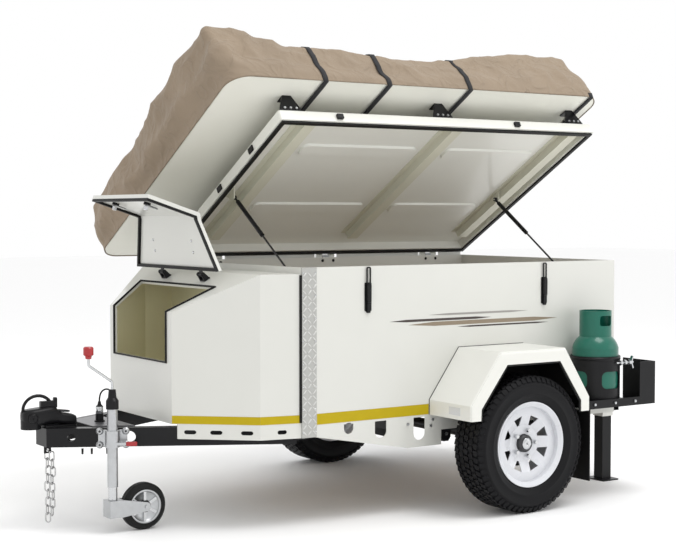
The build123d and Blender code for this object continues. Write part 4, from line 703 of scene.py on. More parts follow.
@dataclass
class Scatter:
    """One small solid repeated at many places by a Geometry Nodes tree.

    Args:
        name: Name of the piece.
        shape: Solid that repeats.
        finish: Finish of every repeat.
        width: Size across, or radius of a round solid.
        height: Size along the normal, or radius of a link's wire.
        depth: Size the other way, for solids that aren't round.
    """

    name: str
    shape: Shape
    finish: Finish
    width: float
    height: float
    depth: float = 0.0

    def _solid(self, tree: bpy.types.NodeTree, sizes: bpy.types.Node) -> bpy.types.NodeSocket:
        """Make the repeated solid.

        Args:
            tree: Tree that gets its nodes.
            sizes: Node with the sizes as outputs.

        Returns:
            The solid's output.
        """
        if self.shape is Shape.LINK:
            return self._link(tree, sizes)
        if self.shape is Shape.BLOCK:
            solid = tree.nodes.new("GeometryNodeMeshCube")
            join = tree.nodes.new("ShaderNodeCombineXYZ")
            for axis, label in zip("XYZ", ("Width", "Depth", "Height")):
                tree.links.new(sizes.outputs[label], join.inputs[axis])
            tree.links.new(join.outputs["Vector"], solid.inputs["Size"])
            return solid.outputs["Mesh"]
        corners, taper = {Shape.HEX: (6, 0.86), Shape.DOME: (12, 0.6), Shape.LOZENGE: (8, 0.6)}[self.shape]
        solid = add_node(tree, "GeometryNodeMeshCone", {"Vertices": corners})
        top = add_node(tree, "ShaderNodeMath", {1: taper}, operation="MULTIPLY")
        tree.links.new(sizes.outputs["Width"], solid.inputs["Radius Bottom"])
        tree.links.new(sizes.outputs["Width"], top.inputs[0])
        tree.links.new(top.outputs["Value"], solid.inputs["Radius Top"])
        tree.links.new(sizes.outputs["Height"], solid.inputs["Depth"])
        if self.shape is not Shape.LOZENGE:
            return solid.outputs["Mesh"]
        squeeze = add_node(tree, "GeometryNodeTransform", {"Scale": (1.0, self.depth / self.width, 1.0)})
        tree.links.new(solid.outputs["Mesh"], squeeze.inputs["Geometry"])
        return squeeze.outputs["Geometry"]

    def _link(self, tree: bpy.types.NodeTree, sizes: bpy.types.Node) -> bpy.types.NodeSocket:
        """Make a chain link: a round wire bent along a rectangle with fully rounded ends.

        Args:
            tree: Tree that gets its nodes.
            sizes: Node with the sizes as outputs.

        Returns:
            The link's output.
        """
        loop = tree.nodes.new("GeometryNodeCurvePrimitiveQuadrilateral")
        rounding = {"Count": 5, "Radius": self.width * 0.49}
        bend = add_node(tree, "GeometryNodeFilletCurve", rounding, mode="POLY")
        section = add_node(tree, "GeometryNodeCurvePrimitiveCircle", {"Resolution": 8})
        solid = tree.nodes.new("GeometryNodeCurveToMesh")
        tree.links.new(sizes.outputs["Width"], loop.inputs["Width"])
        tree.links.new(sizes.outputs["Depth"], loop.inputs["Height"])
        tree.links.new(sizes.outputs["Height"], section.inputs["Radius"])
        tree.links.new(loop.outputs["Curve"], bend.inputs["Curve"])
        tree.links.new(bend.outputs["Curve"], solid.inputs["Curve"])
        tree.links.new(section.outputs["Curve"], solid.inputs["Profile Curve"])
        return solid.outputs["Mesh"]

    def _tree(self) -> bpy.types.NodeTree:
        """Build the tree that puts the solid on every point and realizes it.

        Returns:
            The tree, with the sizes as named inputs.
        """
        tree = bpy.data.node_groups.new(self.name + "_tree", "GeometryNodeTree")
        tree.interface.new_socket("Geometry", in_out="INPUT", socket_type="NodeSocketGeometry")
        for label in ("Width", "Depth", "Height"):
            tree.interface.new_socket(label, in_out="INPUT", socket_type="NodeSocketFloat")
        tree.interface.new_socket("Geometry", in_out="OUTPUT", socket_type="NodeSocketGeometry")
        sizes = tree.nodes.new("NodeGroupInput")
        result = tree.nodes.new("NodeGroupOutput")
        place = tree.nodes.new("GeometryNodeInstanceOnPoints")
        turn = add_node(tree, "GeometryNodeInputNamedAttribute", {"Name": "turn"}, data_type="FLOAT_VECTOR")
        realize = tree.nodes.new("GeometryNodeRealizeInstances")
        paint = add_node(tree, "GeometryNodeSetMaterial", {"Material": self.finish.material()})
        tree.links.new(sizes.outputs["Geometry"], place.inputs["Points"])
        tree.links.new(self._solid(tree, sizes), place.inputs["Instance"])
        tree.links.new(turn.outputs["Attribute"], place.inputs["Rotation"])
        tree.links.new(place.outputs["Instances"], realize.inputs["Geometry"])
        tree.links.new(realize.outputs["Geometry"], paint.inputs["Geometry"])
        tree.links.new(paint.outputs["Geometry"], result.inputs["Geometry"])
        return tree

    def spread(self, places: Sequence[Placed], body: str, slot: str) -> bpy.types.Object:
        """Repeat the solid, as one plain mesh piece on a body.

        Args:
            places: Place and turn of each repeat.
            body: Body that carries the piece.
            slot: Not used.

        Returns:
            The settled piece.
        """
        seeds = bpy.data.meshes.new(self.name + "_seeds")
        seeds.from_pydata([p.at for p in places], [], [])
        turns = seeds.attributes.new("turn", "FLOAT_VECTOR", "POINT")
        turns.data.foreach_set("vector", [value for p in places for value in p.turn])
        source = add_object(self.name + "_source", seeds)
        modifier = source.modifiers.new("repeat", "NODES")
        modifier.node_group = self._tree()
        for item in modifier.node_group.interface.items_tree:
            if item.in_out == "INPUT" and item.name in ("Width", "Depth", "Height"):
                modifier[item.identifier] = getattr(self, item.name.lower())
        mesh = as_mesh(source)
        for spare in [a for a in mesh.attributes if a.name == "turn"]:
            mesh.attributes.remove(spare)
        for face in mesh.polygons:
            face.use_smooth = self.shape is Shape.LINK
        return settle(add_object(self.name, mesh), body)


@dataclass
class TentCover:
    """Packed canvas cover drawn down over the edge of the tent's base, with its straps.

    Args:
        base: Front, rear, far and near edges of the tent's base on the lid.
        top_shift: How far the cover's top stands out or in from those edges.
        hang: Gap between the base's edge and the canvas.
        hem: Height of the hem above the seal.
        seat: Height of the canvas on the base.
        rows: Mesh rows along, across and up.
        crispness: Sharpness of the top's edge.
        corner_r: Plan radius of the corners at the hem.
        corner_draw: How much that radius is less at the top.
        strap_stations: Places of the straps that go over the top.
        rear_strap: Place of the strap that ends at the near edge.
        strap_size: Width and thickness of the webbing.
        near_edge: Place and height of points on the near top edge.
    """

    base: tuple[float, float, float, float] = (-0.785, 1.485, -0.226, 1.450)
    top_shift: tuple[float, float, float, float] = (-0.047, -0.058, 0.115, -0.060)
    hang: float = 0.0055
    hem: float = 0.1465
    seat: float = 0.1765
    rows: tuple[int, int, int] = (216, 150, 34)
    crispness: float = 22.0
    corner_r: float = 0.1055
    corner_draw: float = 0.07
    strap_stations: tuple[float, ...] = (-0.285, 0.085, 0.585)
    rear_strap: float = 1.412
    strap_size: Pair = (0.028, 0.003)
    near_edge: tuple[Pair, ...] = (
        (-0.80, 0.497), (-0.66, 0.490), (-0.53, 0.460), (-0.38, 0.404), (-0.13, 0.399), (0.07, 0.379),
        (0.28, 0.382), (0.60, 0.388), (0.82, 0.428), (1.11, 0.476), (1.33, 0.486), (1.43, 0.478),
    )

    def crown(self, x: float, distance: float) -> float:
        """Read the height of the cover's top, which falls to the far side and is pinched by the straps.

        Args:
            x: Place along the trailer.
            distance: Distance from the hinge line.

        Returns:
            The height above the seal.
        """
        near, far = self.base[3], self.base[2]
        share = max(0.0, min(1.0, (distance - far) / (near - far)))
        fall = 0.79 + 0.21 * min(1.0, share * 1.12)
        pinch = sum(math.exp(-((x - s) / 0.040) ** 2) for s in self.strap_stations)
        return along_profile(self.near_edge, x) * fall - 0.012 * pinch

    def folds(self, x: float, distance: float, height: float) -> float:
        """Read how far broad, crossing and small creases lift the canvas.

        Args:
            x: Place along the trailer.
            distance: Distance from the hinge line.
            height: Height above the seal.

        Returns:
            The lift.
        """
        drift = 0.6 * noise.noise(Vector((x * 2.4 + 7.0, distance * 2.4, height * 4.0)))
        broad = Vector((x * 2.6 + distance * 1.4 + drift, distance * 2.2 - x * 1.1, height * 3.5))
        cross = Vector((x * 5.4 - distance * 4.2 + drift, distance * 4.0 + x * 2.8, height * 7.0))
        small = Vector((x * 11.0 + distance * 8.0, distance * 10.0 - x * 6.0, height * 13.0 + drift))
        layers = ((0.040, 0.22, broad), (0.022, 0.20, cross), (0.006, 0.20, small))
        return sum(depth * (level - abs(noise.noise(place))) for depth, level, place in layers)

    def outline(self, across: float, back: float, share: float) -> Pair:
        """Place a point of the unit square on the cover's rounded plan.

        Args:
            across: Place along the trailer, from -1 to 1.
            back: Place away from the hinge, from -1 to 1.
            share: Share of the cover's height.

        Returns:
            The place along the trailer and the distance from the hinge line.
        """
        reach = max(abs(across), abs(back))
        swell = smooth_step(share, 0.10, 0.40) if across < 0 else smooth_step(share, 0.10, 1.0)
        rise = smooth_step(share, 0.08, 1.0)
        front = self.base[0] - self.hang + self.top_shift[0] * swell
        rear = self.base[1] + self.hang + self.top_shift[1] * rise
        far = self.base[2] - self.hang + self.top_shift[2] * rise
        near = self.base[3] + self.hang + self.top_shift[3] * rise
        middle = ((front + rear) / 2, (far + near) / 2)
        half = ((rear - front) / 2, (near - far) / 2)
        if reach == 0:
            return middle
        corner_r = self.corner_r - self.corner_draw * rise
        edge = [across / reach * half[0], back / reach * half[1]]
        inner = [max(-h + corner_r, min(h - corner_r, e)) for e, h in zip(edge, half)]
        gap = [e - i for e, i in zip(edge, inner)]
        length = math.hypot(*gap)
        rim = [i + g / length * corner_r for i, g in zip(inner, gap)]
        return middle[0] + reach * rim[0], middle[1] + reach * rim[1]

    def surface(self, corner: Vector) -> Vector:
        """Place a point of the unit cube's surface on the canvas.

        Args:
            corner: Point of the cube.

        Returns:
            Its X, distance from the hinge line and height above the seal.
        """
        across, back, up = corner
        reach = max(abs(across), abs(back))
        share = (up + 1) / 2
        length = (reach**self.crispness + share**self.crispness) ** (1 / self.crispness)
        if share > 0:
            across, back, share = across / length, back / length, share / length
        x, distance = self.outline(across, back, share)
        if up <= -1.0:
            return Vector((x, distance, self.hem if reach > 0.9999 else self.seat))
        height = self.hem + (self.crown(x, distance) - self.hem) * share
        lift = self.folds(x, distance, height) * smooth_step(share, 0.10, 0.45)
        lift += 0.0015 * abs(noise.noise(Vector((x * 14.0, distance * 14.0, 0.3)))) * (1 - share)
        outward = Vector((across**15, back**15, share**15)).normalized()
        return Vector((x + lift * outward.x, distance + lift * outward.y, height + lift * outward.z))

    def _cube_grid(self) -> tuple[list[Vector], list[list[int]]]:
        """Divide the surface of a cube into a grid.

        Returns:
            The grid's points and faces.
        """
        points, faces, known = [], [], {}

        def number(corner: Point) -> int:
            """Number a corner, adding it when it is new.

            Args:
                corner: Point of the cube.

            Returns:
                Its number.
            """
            key = tuple(round(c, 6) for c in corner)
            if key not in known:
                known[key] = len(points)
                points.append(Vector(corner))
            return known[key]

        for axis in range(3):
            one, two = [a for a in range(3) if a != axis]
            for side in (-1.0, 1.0):
                for i in range(self.rows[one]):
                    for j in range(self.rows[two]):
                        face = []
                        for di, dj in ((0, 0), (1, 0), (1, 1), (0, 1)):
                            corner = [0.0, 0.0, 0.0]
                            corner[axis] = side
                            corner[one] = -1 + 2 * (i + di) / self.rows[one]
                            corner[two] = -1 + 2 * (j + dj) / self.rows[two]
                            face.append(number(tuple(corner)))
                        faces.append(face)
        return points, faces

    def build_cover(self) -> None:
        """Build the canvas and stand it in for its plain solid."""
        corners, faces = self._cube_grid()
        points = [on_lid(*self.surface(corner)) for corner in corners]
        cover = settle(mesh_piece("canvas_cover", (points, faces), CANVAS, smooth=True), "lid")
        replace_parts(cover, "tent_cover")

    def _strap_rail(self, station: float) -> list[Pair]:
        """Lead a strap from under the base over the canvas to the far edge.

        Args:
            station: Place of the strap along the trailer.

        Returns:
            Distance and height pairs that stand just off what the strap lies on.
        """
        clear = 0.004
        under = [(0.86 + 0.06 * step, self.hem - 0.001) for step in range(10)]
        if station == self.rear_strap:
            ends = [(1.4530, self.hem - 0.002), (1.4555, self.seat - clear)]
            return [(distance, height - 0.002) for distance, height in under] + ends
        across = 2 * (station - self.base[0]) / (self.base[1] - self.base[0]) - 1
        sides = [(1.0, -1.0 + 2.0 * step / 12) for step in range(13)]
        sides += [(1.0 - 2.0 * step / 70, 1.0) for step in range(1, 71)]
        sides += [(-1.0, 1.0 - 2.0 * step / 12) for step in range(1, 13)]
        over = [self.surface(Vector((across, back, up))) for back, up in sides]
        places = under + [(place.y, place.z) for place in over]
        rail = []
        for i, (distance, height) in enumerate(places):
            before, after = places[max(0, i - 1)], places[min(len(places) - 1, i + 1)]
            run = Vector((after[0] - before[0], after[1] - before[1])).normalized()
            rail.append((distance + run.y * clear, height - run.x * clear))
        return rail

    def build_straps(self) -> None:
        """Lay flat webbing over the canvas."""
        width, thickness = self.strap_size
        bands = []
        for station in (*self.strap_stations, self.rear_strap):
            rail = self._strap_rail(station)
            edges = (station - width / 2, station + width / 2)
            bands.append(skin([[on_lid(x, distance, height) for distance, height in rail] for x in edges]))
        straps = mesh_piece("tent_straps", merged(bands), WEBBING, smooth=True)
        settle(thicken(straps, thickness), "lid")

    def build(self) -> None:
        """Build all soft pieces of the tent."""
        self.build_cover()
        self.build_straps()


@dataclass
class Wheel:
    """Tyre with tread, wheel nuts and cap on one side of the axle.

    Args:
        side: Side of the trailer.
        base_r: Radius at the foot of the tread.
        shoulder_r: Radius at the middle of the shoulder lugs.
        shoulder_reach: Their distance from the tyre's middle.
        shoulder_lean: How far they lean outwards.
        tread_rows: Distance of each row of blocks from the tyre's middle.
        tread_spin: Turn of the blocks in a row.
        pitch_count: Blocks in a row.
        nut_circle: Radius of the circle of nuts.
        nut_reach: Distance of the nuts from the tyre's middle.
        wall: Radius and reach of points on the tyre's side, from bead to tread.
        cap: Radius and reach of points on the hub cap.
    """

    side: str
    base_r: float = 0.3262
    shoulder_r: float = 0.3160
    shoulder_reach: float = 0.0925
    shoulder_lean: float = 0.95
    tread_rows: tuple[float, ...] = (-0.070, -0.035, 0.0, 0.035, 0.070)
    tread_spin: float = 0.28
    pitch_count: int = 62
    nut_circle: float = 0.066
    nut_reach: float = 0.0415
    wall: tuple[Pair, ...] = (
        (0.1905, 0.0794), (0.2092, 0.0842), (0.2135, 0.0905), (0.2250, 0.0968), (0.2420, 0.1016),
        (0.2440, 0.1034), (0.2490, 0.1036), (0.2510, 0.1024), (0.2700, 0.1044), (0.2880, 0.1038),
        (0.2900, 0.1046), (0.2960, 0.1040), (0.2980, 0.1018), (0.3120, 0.0960), (0.3210, 0.0880),
    )
    cap: tuple[Pair, ...] = ((0.0001, 0.0582), (0.0290, 0.0582), (0.0280, 0.0625), (0.0180, 0.0650),
                             (0.0001, 0.0658))

    def __post_init__(self) -> None:
        """Work out the wheel's centre, its body and its outer direction."""
        self.out = SIDES[self.side]
        self.centre = (AXLE_X, self.out * HALF_TRACK, WHEEL_R)
        self.body = f"wheel_{self.side}"

    def build_carcass(self) -> None:
        """Turn the tyre's rounded body and stand it in for the plain one."""
        half = [*self.wall, (self.base_r, 0.0780)]
        profile = half + [(radius, -reach) for radius, reach in reversed(half)]
        tyre = lathe(f"tyre_body_{self.side}", profile, self.centre, TYRE_RUBBER, steps=128)
        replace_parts(settle(tyre, self.body), f"tyre_{self.side}")

    def _row(self, radius: float, reach: float, phase: float, lean: float, spin: float) -> list[Placed]:
        """Place one row of blocks round the tyre.

        Args:
            radius: Radius at the blocks' middle.
            reach: Distance of the row from the tyre's middle.
            phase: Share of a pitch by which the row is turned.
            lean: Lean of each block across the tread.
            spin: Turn of each block on the tread.

        Returns:
            The blocks' places.
        """
        places = []
        for step in range(self.pitch_count):
            turn = 2 * math.pi * (step + phase) / self.pitch_count
            matrix = Euler((0, turn, 0)).to_matrix() @ Euler((lean, 0, 0)).to_matrix()
            turned = (matrix @ Euler((0, 0, spin)).to_matrix()).to_euler()
            places.append(Placed(round_axle(self.centre, radius, reach, turn), tuple(turned)))
        return places

    def build_tread(self) -> None:
        """Set rows of tread blocks and shoulder lugs round the tyre."""
        blocks, lugs = [], []
        for row, reach in enumerate(self.tread_rows):
            odd = row % 2
            spin = self.tread_spin if odd else -self.tread_spin
            blocks += self._row(self.base_r + 0.0030, reach, 0.5 * odd, 0.0, spin)
        for edge in FACES.values():
            reach, lean = edge * self.shoulder_reach, -edge * self.shoulder_lean
            lugs += self._row(self.shoulder_r, reach, 0.25, lean, 0.0)
        tread = Scatter(f"tyre_tread_{self.side}", Shape.BLOCK, TYRE_RUBBER, 0.0245, 0.0086, 0.0285)
        tread.spread(blocks, self.body, "tyre")
        shoulder = Scatter(f"tyre_shoulder_{self.side}", Shape.BLOCK, TYRE_RUBBER, 0.0190, 0.0075, 0.0260)
        shoulder.spread(lugs, self.body, "tyre")

    def build_fittings(self) -> None:
        """Add the wheel nuts and the centre cap."""
        turns = [2 * math.pi * step / 5 + 0.3 for step in range(5)]
        places = [round_axle(self.centre, self.nut_circle, self.out * self.nut_reach, turn) for turn in turns]
        nuts = Scatter(f"wheel_nuts_{self.side}", Shape.HEX, STEEL, 0.0115, 0.015)
        nuts.spread([facing(at, (0, self.out, 0)) for at in places], self.body, "zinc")
        profile = [(radius, self.out * reach) for radius, reach in self.cap]
        settle(lathe(f"hub_cap_{self.side}", profile, self.centre, STEEL, steps=48), self.body)

    def build(self) -> None:
        """Build the wheel's pieces."""
        self.build_carcass()
        self.build_tread()
        self.build_fittings()


@dataclass
class BodySides:
    """Tape, stripes, chequer lozenges and fasteners on the box.

    Args:
        tape: Lower and upper edge of the tape.
        nose_floor: Lowest height of the tape on the nose.
        nose_plan: X and half width at the nose's bends.
        side_tape: Start and end of the tape on the side wall.
        stripes: Finish, start, end, height, width and taper of each stripe.
        lozenge_first: X and height of the first lozenge.
        lozenge_pitch: Distance between lozenges.
        lozenge_count: Lozenges across and up a guard.
    """

    tape: Pair = (0.4765, 0.5270)
    nose_floor: float = 0.490
    nose_plan: tuple[Pair, ...] = ((-1.005, 0.330), (-0.695, 0.600), (-0.5028, 0.6447))
    side_tape: Pair = (-0.421, 0.226)
    stripes: tuple[tuple[Finish, float, float, float, float, float], ...] = (
        (STRIPE_BROWN, -0.01, 0.62, 0.936, 0.012, 0.10),
        (STRIPE_TAUPE, 0.10, 1.06, 0.916, 0.020, 0.16),
        (STRIPE_GREY, 0.22, 0.86, 0.960, 0.010, 0.12),
        (STRIPE_BROWN, 0.40, 1.00, 0.896, 0.008, 0.08),
    )
    lozenge_first: Pair = (-0.4892, 0.442)
    lozenge_pitch: float = 0.0270
    lozenge_count: tuple[int, int] = (3, 28)

    def build_tape(self) -> None:
        """Stick reflective tape along the nose and the body's lower edge."""
        low, high = self.tape
        side_run = tuple((x, BODY_HALF) for x in self.side_tape)
        strips = []
        for sign in SIDES.values():
            for run, floor in ((self.nose_plan, self.nose_floor), (side_run, low)):
                for start, end in zip(run, run[1:]):
                    step_x, step_y = end[0] - start[0], end[1] - start[1]
                    off = 2 * FILM / math.hypot(step_x, step_y)
                    rows = []
                    for x, y in (start, end):
                        place = (x - step_y * off, sign * (y + step_x * off))
                        rows.append([(*place, max(z, floor)) for z in (low, high)])
                    strips.append(skin(rows))
        settle(mesh_piece("reflective_tape", merged(strips), TAPE), "chassis")

    def build_stripes(self) -> None:
        """Paint plain tapering stripes along both sides of the body."""
        for number, (finish, start, end, height, width, taper) in enumerate(self.stripes, 1):
            low, high = height - width / 2, height + width / 2
            outline = ((start, height), (start + taper, high), (end - taper, high),
                       (end, height), (end - taper, low), (start + taper, low))
            bands = []
            for sign in SIDES.values():
                points = [(x, sign * (BODY_HALF + FILM), z) for x, z in outline]
                bands.append((points, [list(range(len(points)))]))
            settle(mesh_piece(f"side_stripe_{number}", merged(bands), finish), "chassis")

    def build_lozenges(self) -> None:
        """Raise small lozenges over the corner guards."""
        columns, rows = self.lozenge_count
        places = []
        for sign in SIDES.values():
            for column in range(columns):
                for row in range(rows):
                    x = self.lozenge_first[0] + column * self.lozenge_pitch
                    z = self.lozenge_first[1] + row * self.lozenge_pitch
                    spin = math.pi / 4 if (column + row) % 2 else -math.pi / 4
                    places.append(facing((x, sign * (GUARD_FACE - FILM / 2), z), (0, sign, 0), spin))
        lozenges = Scatter("chequer_lozenges", Shape.LOZENGE, LOZENGE, 0.0150, 0.0022, 0.0040)
        lozenges.spread(places, "chassis", "guard_plate")

    def build_fasteners(self) -> None:
        """Set rivets and bolts along the guards, hinges, latches, skirt and shelves."""
        rivets, bolts = [], []
        for sign in SIDES.values():
            for step in range(8):
                for x in (-0.4965, -0.4285):
                    rivets.append(facing((x, sign * GUARD_FACE, 0.445 + 0.105 * step), (0, sign, 0)))
            for x, z in ((0.100, 0.437), (0.238, 0.420), (0.250, 0.450), (0.335, 0.372), (0.935, 0.372)):
                bolts.append(facing((x, sign * BODY_HALF, z), (0, sign, 0)))
            for x in (1.06, 1.20, 1.34):
                bolts.append(facing((x, sign * 0.9315, 0.492), (0, sign, 0)))
        for station in LID_HINGES:
            for x in (station - 0.05, station + 0.05):
                rivets += [facing((x, 0.6556, z), (0, 1, 0)) for z in (1.115, 1.165)]
        for x in (-0.135, 0.965):
            rivets += [facing((x, -0.6544, z), (0, -1, 0)) for z in (0.998, 1.121)]
        Scatter("body_rivets", Shape.DOME, STEEL, 0.0042, 0.0020).spread(rivets, "chassis", "zinc")
        Scatter("body_bolts", Shape.HEX, ZINC, 0.0085, 0.0060).spread(bolts, "chassis", "zinc")

    def build(self) -> None:
        """Build the box's trim."""
        self.build_tape()
        self.build_stripes()
        self.build_lozenges()
        self.build_fasteners()


@dataclass
class NoseLocker:
    """Liner, edging and joint of the nose locker, and the fittings of its open door.

    Args:
        liner_plan: X and half width at the liner's bends.
        liner_floor: Height of the liner's floor.
        inset: Distance of the liner from the outer skin.
        mouth: X, half width and height of the mouth's corners, from the bottom up.
        joint: X, half width, bottom and top of the joint with the box.
        arm_places: Y of the door's hinge arms.
        screw_runs: Distance of each arm's screws up the brow.
        screw_gap: Distance of the screws off the brow.
        latch_places: Y of the door's latches.
        tongue: X and height of a latch's tongue on the shut door.
        nut: X and height of a latch's nut on the shut door.
    """

    liner_plan: tuple[Pair, ...] = ((-0.990, 0.321), (-0.690, 0.5835), (-0.5135, 0.6270))
    liner_floor: float = 0.5012
    inset: float = 0.0135
    mouth: tuple[Point, ...] = (
        (-1.0075, 0.2785, 0.7675), (-1.0075, 0.2785, 1.0015), (-0.8085, 0.3865, 1.1145),
    )
    joint: tuple[float, float, float, float] = (-0.5045, 0.6455, 0.492, 1.170)
    arm_places: Pair = (-0.2, 0.2)
    screw_runs: Pair = (0.110, 0.165)
    screw_gap: float = 0.0168
    latch_places: Pair = (-0.17, 0.17)
    tongue: Pair = (-1.0080, 0.838)
    nut: Pair = (-1.0040, 0.812)

    def build_liner(self) -> None:
        """Line the locker's floor, sides and back."""
        corners = [(x, -y) for x, y in self.liner_plan] + [(x, y) for x, y in reversed(self.liner_plan)]
        rows = []
        for x, y in corners:
            brow = BROW_Z + (x - NOSE_FRONT) * BROW_RISE - self.inset / math.cos(BROW_SLOPE)
            rows.append([(x, y, self.liner_floor), (x, y, min(brow, NOSE_ROOF - self.inset))])
        points, faces = skin(rows)
        faces.append([2 * i for i in range(len(corners))])
        liner = mesh_piece("locker_liner_panels", (points, faces), LINER_LIT)
        settle(thicken(liner, 0.0008), "chassis")

    def build_edging(self) -> None:
        """Run black edging round the mouth and down the joint with the box."""
        top, brow, foot = [(x, -y, z) for x, y, z in reversed(self.mouth)]
        bead = tube("mouth_edging", [foot, *self.mouth, top, brow], 0.0060, RUBBER, closed=True)
        settle(bead, "chassis")
        x, half, low, high = self.joint
        for side, sign in SIDES.items():
            seam = tube(f"nose_joint_{side}", [(x, sign * half, low), (x, sign * half, high)], 0.0080, RUBBER)
            settle(seam, "chassis")

    def build_door_fittings(self) -> None:
        """Set the hinge arms' screws and the latches' tongues and nuts on the open door's inner face."""
        rise, run = math.sin(BROW_SLOPE), math.cos(BROW_SLOPE)
        dx, dz = swung(rise, -run)
        screws = []
        for y in self.arm_places:
            for up in self.screw_runs:
                x = NOSE_FRONT + up * run - self.screw_gap * rise
                z = BROW_Z + up * rise + self.screw_gap * run
                screws.append(facing(on_open_door(x, y, z), (dx, 0, dz)))
        Scatter("nose_door_screws", Shape.DOME, STEEL, 0.0075, 0.004).spread(screws, "nose_door", "zinc")
        dx, dz = swung(1, 0)
        tongues, nuts = [], []
        for y in self.latch_places:
            tongues.append(Placed(on_open_door(self.tongue[0], y, self.tongue[1]), (0.0, DOOR_SWING, 0.0)))
            nuts.append(facing(on_open_door(self.nut[0], y, self.nut[1]), (dx, 0, dz)))
        tongue = Scatter("nose_latch_tongues", Shape.BLOCK, STEEL, 0.0036, 0.0615, 0.0175)
        tongue.spread(tongues, "nose_door", "zinc")
        Scatter("nose_latch_nuts", Shape.HEX, STEEL, 0.0125, 0.017).spread(nuts, "nose_door", "zinc")

    def build(self) -> None:
        """Build the locker's trim."""
        self.build_liner()
        self.build_edging()
        self.build_door_fittings()


@dataclass
class Fenders:
    """Edging, seams, inner sheets and reflectors of the fenders.

    Args:
        arch: Distance from the axle and height of the arch's corners.
        outline: The same for the fender's outer corners.
        edge_y: Half width at the arch's edge.
        well_y: Half width at the inner and outer edge of the inner sheet.
        reflector_at: X from the axle, half width and height of a reflector.
    """

    arch: tuple[Pair, ...] = (
        (-0.325, 0.476), (-0.322, 0.530), (-0.165, 0.732), (0.172, 0.732), (0.312, 0.530), (0.312, 0.476),
    )
    outline: tuple[Pair, ...] = (
        (-0.385, 0.475), (-0.385, 0.548), (-0.205, 0.795), (0.210, 0.795), (0.372, 0.545), (0.372, 0.475),
    )
    edge_y: float = 0.9698
    well_y: Pair = (0.6528, 0.9680)
    reflector_at: Point = (-0.3855, 0.850, 0.513)

    def build_edging(self, side: str) -> None:
        """Run black edging round the arch and down the seam with the body.

        Args:
            side: Side of the trailer.
        """
        sign = SIDES[side]
        arch = [(AXLE_X + dx * 0.98, sign * self.edge_y, z - 0.005) for dx, z in self.arch]
        settle(tube(f"arch_edging_{side}", arch, 0.0050, RUBBER), "chassis")
        seam = [(AXLE_X + dx, sign * (BODY_HALF + 0.0006), z) for dx, z in self.outline]
        settle(tube(f"fender_seam_{side}", seam, 0.0026, RUBBER), "chassis")

    def build_well(self, side: str) -> None:
        """Line the inside of a fender with thin black sheet.

        Args:
            side: Side of the trailer.
        """
        inner = [(AXLE_X + dx * 0.984, z - (0.006 if z > 0.5 else -0.003)) for dx, z in self.outline]
        points, faces = skin([[(x, SIDES[side] * y, z) for x, z in inner] for y in self.well_y])
        faces.append(list(range(len(inner))))
        well = mesh_piece(f"wheel_well_{side}", (points, faces), RUBBER)
        settle(thicken(well, 0.0012), "chassis")

    def build_reflectors(self) -> None:
        """Set a pale reflector low on the front of each fender."""
        dx, y, z = self.reflector_at
        plates = [box((AXLE_X + dx, sign * y, z), (0.003, 0.085, 0.036)) for sign in SIDES.values()]
        settle(mesh_piece("fender_reflectors", merged(plates), REFLECTOR), "chassis")

    def build(self) -> None:
        """Build both fenders' trim."""
        for side in SIDES:
            self.build_edging(side)
            self.build_well(side)
        self.build_reflectors()


@dataclass
class LidHardware:
    """Latch keepers, edge clips and bracket bolts of the lid, and the rail under its hinges.

    Args:
        keepers: Centre and size of the latch keepers and edge clips, on the lid.
        rail_spans: Start and end of each length of the hinge rail.
        brackets: Places of the tent's brackets.
    """

    keepers: tuple[tuple[Point, Point], ...] = (
        ((-0.171, 1.332, 0.034), (0.034, 0.016, 0.026)), ((0.936, 1.332, 0.034), (0.034, 0.016, 0.026)),
        ((-0.5085, 0.30, 0.036), (0.007, 0.045, 0.030)), ((-0.5085, 0.66, 0.036), (0.007, 0.045, 0.030)),
        ((-0.5085, 1.02, 0.036), (0.007, 0.045, 0.030)),
    )
    rail_spans: tuple[Pair, ...] = ((-0.485, -0.325), (-0.175, 0.405), (0.555, 1.135), (1.285, 1.455))
    brackets: tuple[float, ...] = (-0.430, 0.472, 1.359)

    def build_keepers(self) -> None:
        """Add the latch keepers and the small clips on the lid's edges."""
        points, faces = merged(box(centre, size) for centre, size in self.keepers)
        keepers = mesh_piece("lid_keepers", ([on_lid(*p) for p in points], faces), BLACK_PLASTIC)
        settle(soften(keepers, 0.002, 2), "lid")

    def build_hinge_rail(self) -> None:
        """Close the gap under the lid's hinge side with a folded rail, bolted at each hinge."""
        strips = []
        for start, end in self.rail_spans:
            middle, length = (start + end) / 2, end - start
            strips.append(box((middle, 0.6543, 1.2038), (length, 0.0030, 0.0386)))
            strips.append(box((middle, 0.6515, 1.1860), (length, 0.0030, 0.0030)))
        settle(mesh_piece("hinge_rail", merged(strips), CREAM), "chassis")
        stations = [station + shift for station in LID_HINGES for shift in (-0.036, 0.036)]
        bolts = [facing((x, 0.6285, 1.187), (0, -1, 0)) for x in stations]
        Scatter("hinge_bolts", Shape.DOME, BLACK_PLASTIC, 0.009, 0.004).spread(bolts, "chassis", "zinc")

    def build_bracket_bolts(self) -> None:
        """Set three bolts in each of the tent's brackets."""
        outward = on_lid(0, 1, 0) - on_lid(0, 0, 0)
        stations = [station + shift for station in self.brackets for shift in (-0.032, 0.0, 0.032)]
        bolts = [facing(on_lid(x, 1.3205, 0.078), outward) for x in stations]
        Scatter("bracket_bolts", Shape.HEX, ZINC, 0.007, 0.005).spread(bolts, "lid", "zinc")

    def build(self) -> None:
        """Build the lid's hardware."""
        self.build_keepers()
        self.build_hinge_rail()
        self.build_bracket_bolts()


